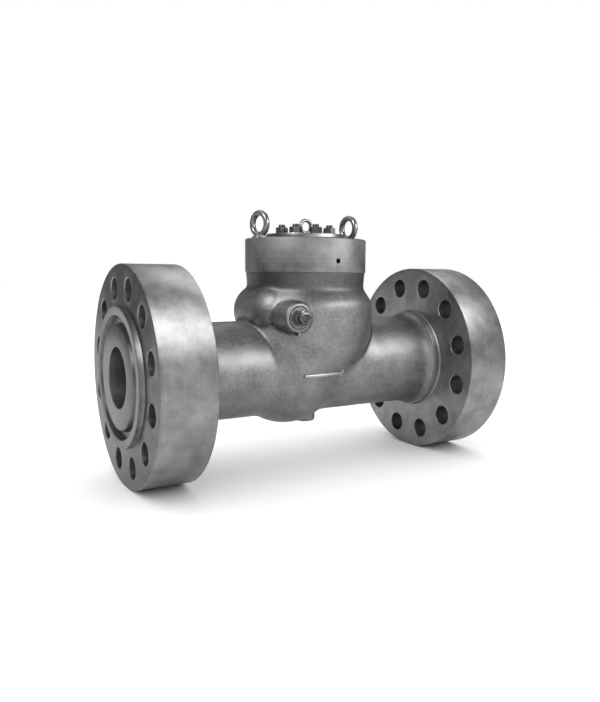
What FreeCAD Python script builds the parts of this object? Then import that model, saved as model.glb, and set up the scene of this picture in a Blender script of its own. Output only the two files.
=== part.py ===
import FreeCAD, Part
import math
import os
import Sketcher
from FreeCAD import Placement, Rotation, Vector

# Swing non-return valve, nominal size 10, class 2500, with ring-joint flanges and a
# pressure-seal bonnet. Millimetres and degrees.
# The origin is the centre of the inlet's raised face, on the pipe axis. +X runs along the
# flow and +Z up the bonnet's axis, which stands half way along the run.
# Heights are taken from the pipe axis, and "back" means upstream of the bonnet's axis.

SIZES = [
    # Run and flanges
    ("face_to_face", 1292.2),
    ("bore_r", 92.075),
    ("flange_r", 336.55),
    ("flange_thick", 165.1),
    ("flange_edge", 3.0),
    ("raised_r", 212.725),
    ("raised_rise", 17.48),
    ("ring_pitch_r", 171.45),
    ("ring_width", 30.18),
    ("ring_depth", 17.48),
    ("ring_side_angle", 23.0),
    ("bolt_circle_in", 66.675),
    ("bolt_hole_r", 33.35),
    ("bolt_count", 12),
    ("hub_r", 175.3),
    ("hub_reach", 24.0),
    ("hub_fillet", 12.0),
    # Outside of the casting
    ("neck_r", 157.5),
    ("neck_flare", 15.0),
    ("neck_flare_r", 55.0),
    ("bowl_r", 228.0),
    ("bowl_shoulder", 31.0),
    ("bowl_middle", 150.0),
    ("bowl_seam_turn", 25.0),
    ("run_seam_turn", 45.0),
    ("shoulder_in", 9.0),
    ("shoulder_drop", 33.0),
    ("shoulder_round", 58.0),
    ("waist_in", 31.0),
    ("waist_drop", 52.4),
    ("band_r", 204.0),
    ("band_height", 110.1),
    ("band_step", 2.5),
    ("rim_height", 426.5),
    ("rim_edge", 4.0),
    ("belly_r", 190.0),
    ("belly_back", 85.0),
    ("hood_r", 95.0),
    ("hood_half", 50.0),
    ("hood_ahead", 11.0),
    ("hood_above", 8.0),
    ("crease_r", 20.0),
    ("boss_crease_r", 10.0),
    ("drain_boss_r", 35.0),
    ("drain_boss_low", 195.0),
    ("drain_boss_edge", 6.0),
    # Inside of the casting
    ("cavity_r", 150.0),
    ("cavity_floor", 96.0),
    ("cavity_round", 136.0),
    ("bonnet_bore_r", 122.0),
    ("bore_mouth", 10.0),
    ("mouth_taper", 31.0),
    ("pocket_r", 124.0),
    ("pocket_front", 20.0),
    ("hood_room_half", 62.0),
    ("hood_room_r", 46.0),
    ("hood_room_low", 52.0),
    ("hood_room_corner", 20.0),
    ("drift_hole_r", 8.0),
    # Seat ring
    ("seat_back", 128.0),
    ("seat_ring_r", 116.0),
    ("seat_ring_thick", 30.0),
    ("seat_proud", 4.0),
    ("seat_land", 12.0),
    ("seat_relief", 1.5),
    # Hinge pin, its bearings and its plug
    ("pin_back", 150.0),
    ("pin_up", 178.0),
    ("pin_r", 19.0),
    ("pin_reach", 138.0),
    ("pin_edge", 2.0),
    ("bush_wall", 5.0),
    ("bush_length", 38.0),
    ("arm_hub_half", 47.0),
    ("boss_r", 47.0),
    ("boss_front", 222.0),
    ("boss_rear", 165.0),
    ("boss_edge", 2.5),
    ("boss_rear_edge", 12.0),
    ("spacer_in", 2.0),
    ("port_r", 24.0),
    ("port_face_r", 37.0),
    ("port_face_sink", 9.0),
    ("plug_gasket_thick", 3.0),
    ("plug_collar_r", 35.0),
    ("plug_collar_thick", 9.0),
    ("plug_flats", 46.0),
    ("plug_hex_height", 18.0),
    ("plug_shank", 44.0),
    ("screw_flats", 36.0),
    ("screw_height", 15.0),
    ("screw_r", 10.0),
    ("screw_shank", 26.0),
    # Hinge arm
    ("arm_hub_r", 33.0),
    ("arm_eye_r", 46.0),
    ("arm_eye_thick", 34.0),
    ("arm_outer_knee", 72.0),
    ("arm_inner_knee", 84.0),
    ("arm_half", 40.0),
    ("arm_root_rise", 53.0),
    ("arm_root_fall", 60.0),
    # Disc and its fixings
    ("disc_r", 108.0),
    ("disc_thick", 42.0),
    ("disc_rim_thick", 26.0),
    ("disc_boss_r", 46.0),
    ("disc_boss_rise", 6.0),
    ("disc_face_sink", 3.0),
    ("disc_land_in", 3.0),
    ("disc_edge", 2.0),
    ("disc_back_slope", 14.0),
    ("stem_r", 26.0),
    ("thread_r", 18.0),
    ("stem_over", 8.0),
    ("washer_r", 38.0),
    ("washer_thick", 6.0),
    ("nut_flats", 55.0),
    ("nut_height", 30.0),
    ("split_pin_r", 2.5),
    ("split_pin_over", 6.0),
    ("split_pin_sink", 5.0),
    ("split_eye_r", 4.0),
    ("split_eye_wire_r", 1.75),
    # Pressure-seal bonnet
    ("bonnet_depth", 190.5),
    ("bonnet_dish_r", 82.0),
    ("bonnet_dish", 22.0),
    ("bonnet_lip", 58.0),
    ("bonnet_edge", 6.0),
    ("bonnet_neck_r", 106.0),
    ("bonnet_sink", 22.5),
    ("bonnet_top_edge", 2.0),
    ("gasket_height", 24.0),
    ("gasket_toe", 3.0),
    ("spacer_height", 22.0),
    ("segment_height", 26.0),
    ("segment_reach", 18.0),
    ("segment_count", 4),
    ("segment_gap", 6.0),
    ("segment_turn", 45.0),
    # Cover retainer plate and its studs
    ("plate_r", 133.5),
    ("plate_thick", 16.5),
    ("plate_edge", 2.5),
    ("plate_hole_play", 0.8),
    ("stud_circle_r", 86.0),
    ("stud_count", 8),
    ("stud_turn", -8.0),
    ("stud_r", 11.1),
    ("stud_depth", 45.0),
    ("stud_over", 9.0),
    ("stud_nut_flats", 36.5),
    ("stud_nut_height", 21.8),
    # Eye bolts
    ("body_eye_circle_r", 174.0),
    ("body_eye_mean_r", 35.0),
    ("body_eye_wire_r", 10.0),
    ("body_eye_collar_r", 25.0),
    ("body_eye_root_r", 11.0),
    ("body_eye_collar", 12.0),
    ("body_eye_thread_r", 12.0),
    ("body_eye_shank", 36.0),
    ("body_eye_height", 90.0),
    ("inlet_eye_turn", 13.0),
    ("outlet_eye_turn", 7.0),
    ("cover_eye_mean_r", 21.0),
    ("cover_eye_wire_r", 6.0),
    ("cover_eye_collar_r", 15.0),
    ("cover_eye_root_r", 6.6),
    ("cover_eye_collar", 7.0),
    ("cover_eye_thread_r", 6.0),
    ("cover_eye_height", 54.5),
    ("cover_eye_turn", 5.0),
    # Clearances
    ("seat_fit", 0.1),
    ("running_fit", 0.05),
]

doc = FreeCAD.newDocument("swing_non_return_valve")
sheet = doc.addObject("Spreadsheet::Sheet", "sizes")
for row, (alias, number) in enumerate(SIZES, 1):
    sheet.set(f"A{row}", alias)
    sheet.set(f"B{row}", str(number))
    sheet.setAlias(f"B{row}", alias)
doc.recompute()


class Size:
    """A number together with the sheet formula that gives it."""

    def __init__(self, text, value):
        self.text = text
        self.value = float(value)

    def __add__(self, other):
        other = sized(other)
        return Size(f"({self.text} + {other.text})", self.value + other.value)

    def __sub__(self, other):
        other = sized(other)
        return Size(f"({self.text} - {other.text})", self.value - other.value)

    def __mul__(self, other):
        other = sized(other)
        return Size(f"({self.text} * {other.text})", self.value * other.value)

    def __truediv__(self, other):
        other = sized(other)
        return Size(f"({self.text} / {other.text})", self.value / other.value)

    def __neg__(self):
        return Size(f"(0 - {self.text})", -self.value)

    __radd__ = __add__
    __rmul__ = __mul__


def sized(thing):
    """A Size as it is, a sheet name as its cell, or a plain number."""
    if isinstance(thing, Size):
        return thing
    if isinstance(thing, str):
        return Size(f"sizes.{thing}", sheet.get(thing))
    return Size(repr(thing), thing)


def root_of(size):
    return Size(f"sqrt({size.text})", math.sqrt(size.value))


def sine(size):
    return Size(f"sin({size.text})", math.sin(math.radians(size.value)))


def cosine(size):
    return Size(f"cos({size.text})", math.cos(math.radians(size.value)))


def arc_sine(size):
    return Size(f"(asin({size.text}) / 1 deg)", math.degrees(math.asin(size.value)))


def bind(target, name, size):
    """Gives a property its value and ties it to the sheet."""
    size = sized(size)
    target.setExpression(name, size.text)


def place(target, x=0, y=0, z=0, axis=None, angle=0):
    """Places an object by the sheet: a shift, and a turn about one axis."""
    if axis is not None:
        target.Placement = Placement(Vector(), Rotation(axis, sized(angle).value))
        if isinstance(angle, (Size, str)):
            bind(target, "Placement.Rotation.Angle", angle)
    for name, size in (("x", x), ("y", y), ("z", z)):
        if sized(size).text != "0":
            bind(target, f"Placement.Base.{name}", size)


def new_body(label):
    body = doc.addObject("PartDesign::Body", label)
    body.Label = label
    return body


def new_sketch(body, name, role, lift=0):
    """A sketch on one of the body's own origin planes, lifted along its normal."""
    sketch = body.newObject("Sketcher::SketchObject", name)
    plane = [item for item in body.Origin.OriginFeatures if item.Role == role][0]
    sketch.AttachmentSupport = [(plane, "")]
    sketch.MapMode = "FlatFace"
    if sized(lift).text != "0":
        bind(sketch, "AttachmentOffset.Base.z", lift)
    return sketch


def hold_point(sketch, geometry, end, x, y):
    """Ties one point of a sketch to its two measures from the sketch's origin."""
    for kind, axis, size in (("DistanceX", -2, x), ("DistanceY", -1, y)):
        size = sized(size)
        if size.text == "0":
            sketch.addConstraint(Sketcher.Constraint("PointOnObject", geometry, end, axis))
            continue
        index = sketch.addConstraint(Sketcher.Constraint(kind, -1, 1, geometry, end, size.value))
        sketch.setExpression(f"Constraints[{index}]", size.text)


def outline(sketch, corners):
    """A closed outline. A corner is (x, y), or (x, y, radius, turn) where an arc of that
    radius leads to it, turning left (1) or right (-1)."""
    points = [(sized(corner[0]).value, sized(corner[1]).value) for corner in corners]
    ends = []
    for number, corner in enumerate(corners):
        start = points[number - 1]
        stop = points[number]
        if len(corner) == 2:
            line = Part.LineSegment(Vector(*start, 0), Vector(*stop, 0))
            ends.append((sketch.addGeometry(line), 1, 2))
            continue
        radius = sized(corner[2])
        turn = corner[3]
        chord = Vector(stop[0] - start[0], stop[1] - start[1], 0)
        rise = math.sqrt(max(radius.value ** 2 - chord.Length ** 2 / 4, 0))
        across = Vector(-chord.y, chord.x, 0).normalize() * turn * rise
        centre = Vector(*start, 0) + chord / 2 + across
        first, last = (start, stop) if turn > 0 else (stop, start)
        angle_first = math.atan2(first[1] - centre.y, first[0] - centre.x)
        angle_last = math.atan2(last[1] - centre.y, last[0] - centre.x)
        circle = Part.Circle(centre, Vector(0, 0, 1), radius.value)
        index = sketch.addGeometry(Part.ArcOfCircle(circle, angle_first, angle_last))
        ends.append((index, 1, 2) if turn > 0 else (index, 2, 1))
        held = sketch.addConstraint(Sketcher.Constraint("Radius", index, radius.value))
        sketch.setExpression(f"Constraints[{held}]", radius.text)
    for number, corner in enumerate(corners):
        index, start_end, stop_end = ends[number]
        after, after_start, after_stop = ends[(number + 1) % len(ends)]
        sketch.addConstraint(Sketcher.Constraint("Coincident", index, stop_end, after, after_start))
        hold_point(sketch, index, stop_end, corner[0], corner[1])


def ring_line(sketch, x, y, radius):
    """A circle at a named place with a named radius."""
    x, y, radius = sized(x), sized(y), sized(radius)
    circle = Part.Circle(Vector(x.value, y.value, 0), Vector(0, 0, 1), radius.value)
    index = sketch.addGeometry(circle)
    held = sketch.addConstraint(Sketcher.Constraint("Radius", index, radius.value))
    sketch.setExpression(f"Constraints[{held}]", radius.text)
    hold_point(sketch, index, 3, x, y)


def rectangle(sketch, left, low, right, high):
    outline(sketch, [(left, low), (right, low), (right, high), (left, high)])


def hexagon(sketch, x, flats):
    """A hexagon about the point (x, 0), a flat on each side of it."""
    x = sized(x)
    corner = sized(flats) / math.sqrt(3)
    half = sized(flats) / 2
    outline(sketch, [
        (x + half, corner / 2), (x, corner), (x - half, corner / 2),
        (x - half, -(corner / 2)), (x, -corner), (x + half, -(corner / 2)),
    ])


def revolve(body, sketch, axis, kind="Revolution"):
    feature = body.newObject(f"PartDesign::{kind}", f"{sketch.Name}_{kind.lower()}")
    feature.Profile = sketch
    feature.ReferenceAxis = (sketch, [axis])
    feature.Angle = 360
    return feature


def pad(body, sketch, length, middle=False, backwards=False, kind="Pad"):
    feature = body.newObject(f"PartDesign::{kind}", f"{sketch.Name}_{kind.lower()}")
    feature.Profile = sketch
    feature.Type = 0
    bind(feature, "Length", length)
    feature.Midplane = middle
    feature.Reversed = backwards
    return feature


def pocket_through(body, sketch):
    feature = body.newObject("PartDesign::Pocket", f"{sketch.Name}_pocket")
    feature.Profile = sketch
    feature.Type = 1
    feature.Midplane = True
    return feature


def around(body, features, count, role="Z_Axis"):
    """Repeats features about one of the body's own axes."""
    pattern = body.newObject("PartDesign::PolarPattern", f"{features[0].Name}_pattern")
    pattern.Originals = features
    axis = [item for item in body.Origin.OriginFeatures if item.Role == role][0]
    pattern.Axis = (axis, [""])
    pattern.Angle = 360
    bind(pattern, "Occurrences", count)
    body.Tip = pattern
    return pattern


def cylinder(name, radius, length, x=0, y=0, z=0, axis=None, angle=0):
    rod = doc.addObject("Part::Cylinder", name)
    bind(rod, "Radius", radius)
    bind(rod, "Height", length)
    place(rod, x, y, z, axis, angle)
    return rod


def fused(name, shapes):
    joined = doc.addObject("Part::MultiFuse", name)
    joined.Shapes = shapes
    joined.Refine = True
    return joined


def cut(name, base, tool):
    result = doc.addObject("Part::Cut", name)
    result.Base = base
    result.Tool = tool
    result.Refine = True
    return result


# Two shapes closer than this share a seam, and a cutting tool runs out by the overshoot.
SEAM_GAP = 0.01
CUT_OVER = 1.0
X_AXIS = Vector(1, 0, 0)
Y_AXIS = Vector(0, 1, 0)
Z_AXIS = Vector(0, 0, 1)

# Places that several pieces share, measured from the bonnet's axis.
half_run = sized("face_to_face") / 2
joint_reach = half_run - "raised_rise" - "flange_thick" - "hub_reach"
neck_end_r = sized("neck_r") + "neck_flare"
flare_run = root_of(sized("neck_flare") * (2 * sized("neck_flare_r") - "neck_flare"))
pin_x = -sized("pin_back")
pin_z = sized("pin_up")
seat_x = -sized("seat_back")
seat_wall_x = seat_x - "seat_proud"
disc_x = seat_x + "seat_fit"
disc_back_x = disc_x + "disc_thick" + "disc_boss_rise"
arm_eye_x = disc_back_x + "seat_fit"
washer_x = arm_eye_x + "arm_eye_thick" + "seat_fit"
nut_x = washer_x + "washer_thick"
stem_end_x = nut_x + "nut_height" + "stem_over"
split_pin_x = nut_x + "nut_height" - "split_pin_sink"
arm_hub_end = sized("arm_hub_half")
band_low = sized("rim_height") - "band_height"
waist_height = band_low - "waist_drop"
shoulder_top = waist_height - "shoulder_drop"
bowl_top = shoulder_top - "bowl_shoulder"
bonnet_low = sized("rim_height") - "bonnet_depth"
bonnet_top = sized("rim_height") - "bonnet_sink"
mouth_low = bonnet_low - "bore_mouth"
gasket_low = bonnet_low + "bonnet_lip"
spacer_low = gasket_low + "gasket_height"
segment_low = spacer_low + "spacer_height"
segment_top = segment_low + "segment_height"
segment_r = sized("bonnet_bore_r") + "segment_reach"
segment_middle = segment_low + sized("segment_height") / 2
plate_top = sized("rim_height") + "plate_thick"


def make_flange(label, outlet):
    """A forged flange of the ring-joint kind. Its own origin is the centre of the raised
    face, and its +X runs into the valve."""
    body = new_body(label)
    face = sized("raised_rise")
    back = face + "flange_thick"
    end = back + "hub_reach"
    edge = sized("flange_edge")
    slope = sized("ring_depth") * sine(sized("ring_side_angle")) / cosine(sized("ring_side_angle"))
    groove_in = sized("ring_pitch_r") - sized("ring_width") / 2
    groove_out = sized("ring_pitch_r") + sized("ring_width") / 2
    profile = new_sketch(body, f"{label}_profile", "XZ_Plane")
    outline(profile, [
        (0, "bore_r"),
        (0, groove_in),
        ("ring_depth", groove_in + slope),
        ("ring_depth", groove_out - slope),
        (0, groove_out),
        (0, "raised_r"),
        (face, "raised_r"),
        (face, sized("flange_r") - edge),
        (face + edge, "flange_r"),
        (back - edge, "flange_r"),
        (back, sized("flange_r") - edge),
        (back, sized("hub_r") + "hub_fillet"),
        (back + "hub_fillet", "hub_r", "hub_fillet", 1),
        (end, "hub_r"),
        (end, "bore_r"),
    ])
    revolve(body, profile, "H_Axis")
    hole = new_sketch(body, f"{label}_hole", "YZ_Plane")
    half_step = sized(180) / "bolt_count"
    circle_r = sized("flange_r") - "bolt_circle_in"
    hole_y = circle_r * sine(half_step)
    hole_z = circle_r * cosine(half_step)
    ring_line(hole, hole_y, hole_z, "bolt_hole_r")
    drilled = pocket_through(body, hole)
    around(body, [drilled], "bolt_count", "X_Axis")
    if outlet:
        place(body, x="face_to_face", axis=Z_AXIS, angle=180)
    return body


def seam_fillet(name, joined, first, second, radius):
    """Rounds the inner corners where two joined shapes meet."""
    doc.recompute()
    seams = []
    for number, edge in enumerate(joined.Shape.Edges, 1):
        spot = Part.Vertex(edge.valueAt((edge.FirstParameter + edge.LastParameter) / 2))
        gaps = [
            min(shell.distToShape(spot)[0] for shell in piece.Shape.Shells)
            for piece in (first, second)
        ]
        if max(gaps) < SEAM_GAP:
            seams.append((number, sized(radius).value, sized(radius).value))
    rounded = doc.addObject("Part::Fillet", name)
    rounded.Base = joined
    rounded.Edges = seams
    return rounded


def make_run():
    run = new_body("run_outside")
    profile = new_sketch(run, "run_profile", "XZ_Plane")
    flare_x = joint_reach - flare_run
    outline(profile, [
        (-joint_reach, 0),
        (joint_reach, 0),
        (joint_reach, neck_end_r),
        (flare_x, "neck_r", "neck_flare_r", -1),
        (-flare_x, "neck_r"),
        (-joint_reach, neck_end_r, "neck_flare_r", -1),
    ])
    revolve(run, profile, "H_Axis")
    place(run, 0, 0, 0, X_AXIS, "run_seam_turn")
    return run


def make_bowl():
    """The round bowl with the neck and the thick rim that hold the bonnet."""
    bowl = new_body("bowl_outside")
    profile = new_sketch(bowl, "bowl_profile", "XZ_Plane")
    outline(profile, [
        (0, sized("bowl_middle") - "bowl_r"),
        ("bowl_r", "bowl_middle", "bowl_r", 1),
        ("bowl_r", bowl_top),
        (sized("bowl_r") - "shoulder_in", shoulder_top, "shoulder_round", 1),
        (sized("bowl_r") - "waist_in", waist_height),
        (sized("band_r") - "band_step", band_low),
        ("band_r", band_low),
        ("band_r", sized("rim_height") - "rim_edge"),
        (sized("band_r") - "rim_edge", "rim_height"),
        (0, "rim_height"),
    ])
    revolve(bowl, profile, "V_Axis")
    place(bowl, 0, 0, 0, Z_AXIS, "bowl_seam_turn")
    return bowl


def make_pin_boss():
    front, rear, edge = sized("boss_front"), sized("boss_rear"), sized("boss_edge")
    rear_edge = sized("boss_rear_edge")
    boss = cross_piece("pin_boss", [
        (-rear, 0),
        (front, 0),
        (front, sized("boss_r") - edge),
        (front - edge, "boss_r"),
        (rear_edge - rear, "boss_r"),
        (-rear, sized("boss_r") - rear_edge, rear_edge, 1),
    ])
    place(boss, pin_x, 0, pin_z, Z_AXIS, -90)
    return boss


def make_drain_boss():
    drain = new_body("drain_boss")
    profile = new_sketch(drain, "drain_profile", "XZ_Plane")
    low = -sized("drain_boss_low")
    round_r = sized("drain_boss_edge")
    outline(profile, [
        (0, low),
        (sized("drain_boss_r") - round_r, low),
        ("drain_boss_r", low + round_r, round_r, 1),
        ("drain_boss_r", 0),
        (0, 0),
    ])
    revolve(drain, profile, "V_Axis")
    return drain


def ball(name, radius, x):
    """A sphere on the pipe's axis."""
    sphere = doc.addObject("Part::Sphere", name)
    bind(sphere, "Radius", radius)
    place(sphere, x)
    return sphere


def make_hood():
    """The round-ended bulge over the hinge, along the pin."""
    hood = new_body("hood")
    profile = new_sketch(hood, "hood_profile", "XZ_Plane")
    reach = sized("hood_half") + "hood_r"
    outline(profile, [
        (-reach, 0, "hood_r", 1),
        (reach, 0),
        ("hood_half", "hood_r", "hood_r", 1),
        (-sized("hood_half"), "hood_r"),
    ])
    revolve(hood, profile, "H_Axis")
    place(hood, pin_x + "hood_ahead", 0, pin_z + "hood_above", Z_AXIS, -90)
    return hood


def grown(name, base, added, crease):
    """Joins a form to the casting and rounds the crease between them."""
    joined = fused(f"{name}_sharp", [base, added])
    return seam_fillet(name, joined, base, added, crease)


def make_casting():
    """The cast body: run, bowl, belly, hood over the hinge, pin bosses and drain boss.
    Run and bowl are turned about their own axes, so that the seams in their round faces
    lie clear of each other."""
    belly = ball("belly", "belly_r", -sized("belly_back"))
    outside = grown("run_and_belly", make_run(), belly, "crease_r")
    outside = grown("with_bowl", outside, make_bowl(), "crease_r")
    hood = grown("hood_with_boss", make_hood(), make_pin_boss(), "boss_crease_r")
    outside = fused("casting_outside", [outside, hood, make_drain_boss()])

    # Everything that is cut out of the casting
    flow = cylinder("flow_bore", "bore_r", joint_reach * 2, -joint_reach, 0, 0, Y_AXIS, 90)
    pocket = cylinder("disc_pocket", "pocket_r", sized("seat_back") + "seat_proud" - "pocket_front",
                      seat_wall_x, 0, 0, Y_AXIS, 90)
    seat_bed = cylinder("seat_bed", sized("seat_ring_r") + "seat_fit", "seat_ring_thick",
                        seat_x - "seat_ring_thick", 0, 0, Y_AXIS, 90)
    cavity = new_body("cavity")
    profile = new_sketch(cavity, "cavity_profile", "XZ_Plane")
    floor = -sized("cavity_floor")
    outline(profile, [
        (0, floor),
        (sized("cavity_r") - "cavity_round", floor),
        ("cavity_r", floor + "cavity_round", "cavity_round", 1),
        ("cavity_r", mouth_low - "mouth_taper"),
        ("bonnet_bore_r", mouth_low),
        ("bonnet_bore_r", segment_low),
        (segment_r, segment_low),
        (segment_r, segment_top),
        ("bonnet_bore_r", segment_top),
        ("bonnet_bore_r", sized("rim_height") + CUT_OVER),
        (0, sized("rim_height") + CUT_OVER),
    ])
    revolve(cavity, profile, "V_Axis")

    room = new_body("hood_room")
    plan = new_sketch(room, "room_profile", "XZ_Plane")
    room_r = sized("hood_room_r")
    room_corner = sized("hood_room_corner")
    left = pin_x - room_r
    high = pin_z + room_r
    low = pin_z - "hood_room_low"
    outline(plan, [
        (0, low),
        (0, high),
        (left + room_corner, high),
        (left, high - room_corner, room_corner, 1),
        (left, low + room_corner),
        (left + room_corner, low, room_corner, 1),
    ])
    pad(room, plan, sized("hood_room_half") * 2, middle=True)

    pin_hole = cylinder("pin_hole", sized("pin_r") + "seat_fit", sized("pin_reach") * 2,
                        pin_x, "pin_reach", pin_z, X_AXIS, 90)
    port_depth = sized("boss_front") - "pin_reach"
    port = cylinder("plug_port", "port_r", port_depth, pin_x, -sized("pin_reach"), pin_z, X_AXIS, 90)
    port_face = cylinder("plug_port_face", "port_face_r", "port_face_sink",
                         pin_x, sized("port_face_sink") - "boss_front", pin_z, X_AXIS, 90)
    drift = cylinder("drift_holes", "drift_hole_r", (sized("band_r") + CUT_OVER) * 2,
                     0, sized("band_r") + CUT_OVER, segment_middle, X_AXIS, 90)
    eye_hole_r = sized("body_eye_thread_r") + "seat_fit"
    eye_hole_low = sized("body_eye_shank") + CUT_OVER
    eye_holes = [
        cylinder(f"{name}_eye_hole", eye_hole_r, eye_hole_low + CUT_OVER,
                 reach, 0, sized("rim_height") - eye_hole_low)
        for name, reach in (("inlet", -sized("body_eye_circle_r")), ("outlet", "body_eye_circle_r"))
    ]
    inside = fused("casting_inside", [flow, pocket, seat_bed, cavity, room, pin_hole,
                                      port, port_face, drift] + eye_holes)
    casting = cut("body_casting", outside, inside)
    place(casting, x=half_run)
    return casting


def turned_piece(label, corners, axis="V_Axis"):
    """A turned piece about the bonnet's axis (V_Axis) or the pipe's (H_Axis)."""
    body = new_body(label)
    profile = new_sketch(body, f"{label}_profile", "XZ_Plane")
    outline(profile, corners)
    revolve(body, profile, axis)
    place(body, x=half_run)
    return body


def make_seat_ring():
    back = seat_x - "seat_ring_thick"
    relief = sized("seat_relief")
    land = sized("bore_r") + "seat_land"
    return turned_piece("seat_ring", [
        (back, "bore_r"),
        (seat_x, "bore_r"),
        (seat_x, land),
        (seat_x - relief, land + relief),
        (seat_x - relief, "seat_ring_r"),
        (back, "seat_ring_r"),
    ], "H_Axis")


def make_bonnet():
    wall = sized("bonnet_bore_r") - "seat_fit"
    low = bonnet_low
    edge = sized("bonnet_edge")
    body = turned_piece("bonnet", [
        (0, low + "bonnet_dish"),
        (sized("bonnet_dish_r") - "bonnet_dish", low + "bonnet_dish"),
        ("bonnet_dish_r", low, "bonnet_dish", -1),
        (wall - edge, low),
        (wall, low + edge),
        (wall, gasket_low),
        (wall - "gasket_toe", gasket_low),
        ("bonnet_neck_r", spacer_low),
        ("bonnet_neck_r", bonnet_top - "bonnet_top_edge"),
        (sized("bonnet_neck_r") - "bonnet_top_edge", bonnet_top),
        (0, bonnet_top),
    ])
    holes = new_sketch(body, "stud_hole", "XY_Plane", bonnet_top - "stud_depth")
    ring_line(holes, "stud_circle_r", 0, sized("stud_r") + "seat_fit")
    tapped = pad(body, holes, sized("stud_depth") + CUT_OVER, backwards=True, kind="Pocket")
    around(body, [tapped], "stud_count")
    place(body, x=half_run, axis=Z_AXIS, angle="stud_turn")
    return body


def make_gasket():
    wall = sized("bonnet_bore_r") - "seat_fit"
    inner = sized("seat_fit")
    return turned_piece("pressure_seal_gasket", [
        (wall - "gasket_toe" + inner, gasket_low + inner),
        (wall, gasket_low + inner),
        (wall, spacer_low),
        (sized("bonnet_neck_r") + inner * 2, spacer_low),
    ])


def make_spacer_ring():
    gap = sized("seat_fit")
    return turned_piece("spacer_ring", [
        (sized("bonnet_neck_r") + gap, spacer_low + gap),
        (sized("bonnet_bore_r") - gap, spacer_low + gap),
        (sized("bonnet_bore_r") - gap, segment_low),
        (sized("bonnet_neck_r") + gap, segment_low),
    ])


def make_segments():
    """The thrust ring is cut into segments, so that each can be slid into its groove."""
    gap = sized("seat_fit")
    body = new_body("thrust_ring_segments")
    profile = new_sketch(body, "segment_profile", "XZ_Plane")
    outline(profile, [
        (sized("bonnet_neck_r") + gap, segment_low + gap),
        (segment_r - gap, segment_low + gap),
        (segment_r - gap, segment_top - gap),
        (sized("bonnet_neck_r") + gap, segment_top - gap),
    ])
    share = sized(360) / "segment_count"
    half_gap = arc_sine(sized("segment_gap") / 2 / segment_r)
    piece = revolve(body, profile, "V_Axis")
    bind(piece, "Angle", share - half_gap * 2)
    around(body, [piece], "segment_count")
    place(body, x=half_run, axis=Z_AXIS, angle=half_gap + "segment_turn")
    return body


def make_plate():
    edge = sized("plate_edge")
    hole = sized("cover_eye_thread_r") + "seat_fit"
    body = turned_piece("cover_retainer_plate", [
        (hole, "rim_height"),
        ("plate_r", "rim_height"),
        ("plate_r", plate_top - edge),
        (sized("plate_r") - edge, plate_top),
        (hole, plate_top),
    ])
    holes = new_sketch(body, "plate_hole", "XY_Plane", "rim_height")
    ring_line(holes, "stud_circle_r", 0, sized("stud_r") + "plate_hole_play")
    drilled = pocket_through(body, holes)
    around(body, [drilled], "stud_count")
    place(body, x=half_run, axis=Z_AXIS, angle="stud_turn")
    return body


def make_studs():
    body = new_body("bonnet_studs")
    low = bonnet_top - "stud_depth"
    high = plate_top + "stud_nut_height" + "stud_over"
    section = new_sketch(body, "stud_section", "XY_Plane", low)
    ring_line(section, "stud_circle_r", 0, "stud_r")
    rod = pad(body, section, high - low)
    around(body, [rod], "stud_count")
    place(body, x=half_run, axis=Z_AXIS, angle="stud_turn")
    return body


def make_stud_nuts():
    body = new_body("bonnet_nuts")
    section = new_sketch(body, "nut_section", "XY_Plane", plate_top)
    hexagon(section, "stud_circle_r", "stud_nut_flats")
    ring_line(section, "stud_circle_r", 0, sized("stud_r") + "seat_fit")
    nut = pad(body, section, "stud_nut_height")
    around(body, [nut], "stud_count")
    place(body, x=half_run, axis=Z_AXIS, angle="stud_turn")
    return body


def eye_bolt(name, size, shank, reach, turn, seat_z):
    """A forged eye bolt: shank, collar and ring. Its ring stands across the turned X axis."""
    mean = sized(f"{size}_eye_mean_r")
    wire = sized(f"{size}_eye_wire_r")
    thread = f"{size}_eye_thread_r"
    root = f"{size}_eye_root_r"
    collar = sized(f"{size}_eye_collar")
    ring = doc.addObject("Part::Torus", f"{name}_ring")
    bind(ring, "Radius1", mean)
    bind(ring, "Radius2", wire)
    place(ring, 0, 0, sized(f"{size}_eye_height") - mean - wire, Y_AXIS, 90)
    rod = new_body(f"{name}_shank")
    profile = new_sketch(rod, f"{name}_shank_profile", "XZ_Plane")
    outline(profile, [
        (0, -sized(shank)),
        (thread, -sized(shank)),
        (thread, 0),
        (f"{size}_eye_collar_r", 0),
        (root, collar),
        (0, collar),
    ])
    revolve(rod, profile, "V_Axis")
    bolt = fused(name, [ring, rod])
    place(bolt, reach, 0, seat_z, Z_AXIS, turn)
    return bolt


def make_body_eyes():
    eyes = [
        eye_bolt("inlet_side_eye", "body", "body_eye_shank",
                 half_run - "body_eye_circle_r", "inlet_eye_turn", "rim_height"),
        eye_bolt("outlet_side_eye", "body", "body_eye_shank",
                 half_run + "body_eye_circle_r", "outlet_eye_turn", "rim_height"),
    ]
    pair = doc.addObject("Part::Compound", "body_lifting_eyes")
    pair.Links = eyes
    return pair


def make_cover_eye():
    bolt = eye_bolt("cover_eye_bolt", "cover", sized("plate_thick") + "plate_edge", half_run,
                    sized("cover_eye_turn") + 90, plate_top)
    return bolt


def cross_piece(label, corners):
    """A piece turned about the hinge pin's axis. Its outline gives the place along the pin,
    from the pipe's middle plane towards the plug, and the radius."""
    body = new_body(label)
    profile = new_sketch(body, f"{label}_profile", "XZ_Plane")
    outline(profile, corners)
    revolve(body, profile, "H_Axis")
    return body


def place_on_pin(body):
    place(body, half_run + pin_x, 0, pin_z, Z_AXIS, -90)
    return body


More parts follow.
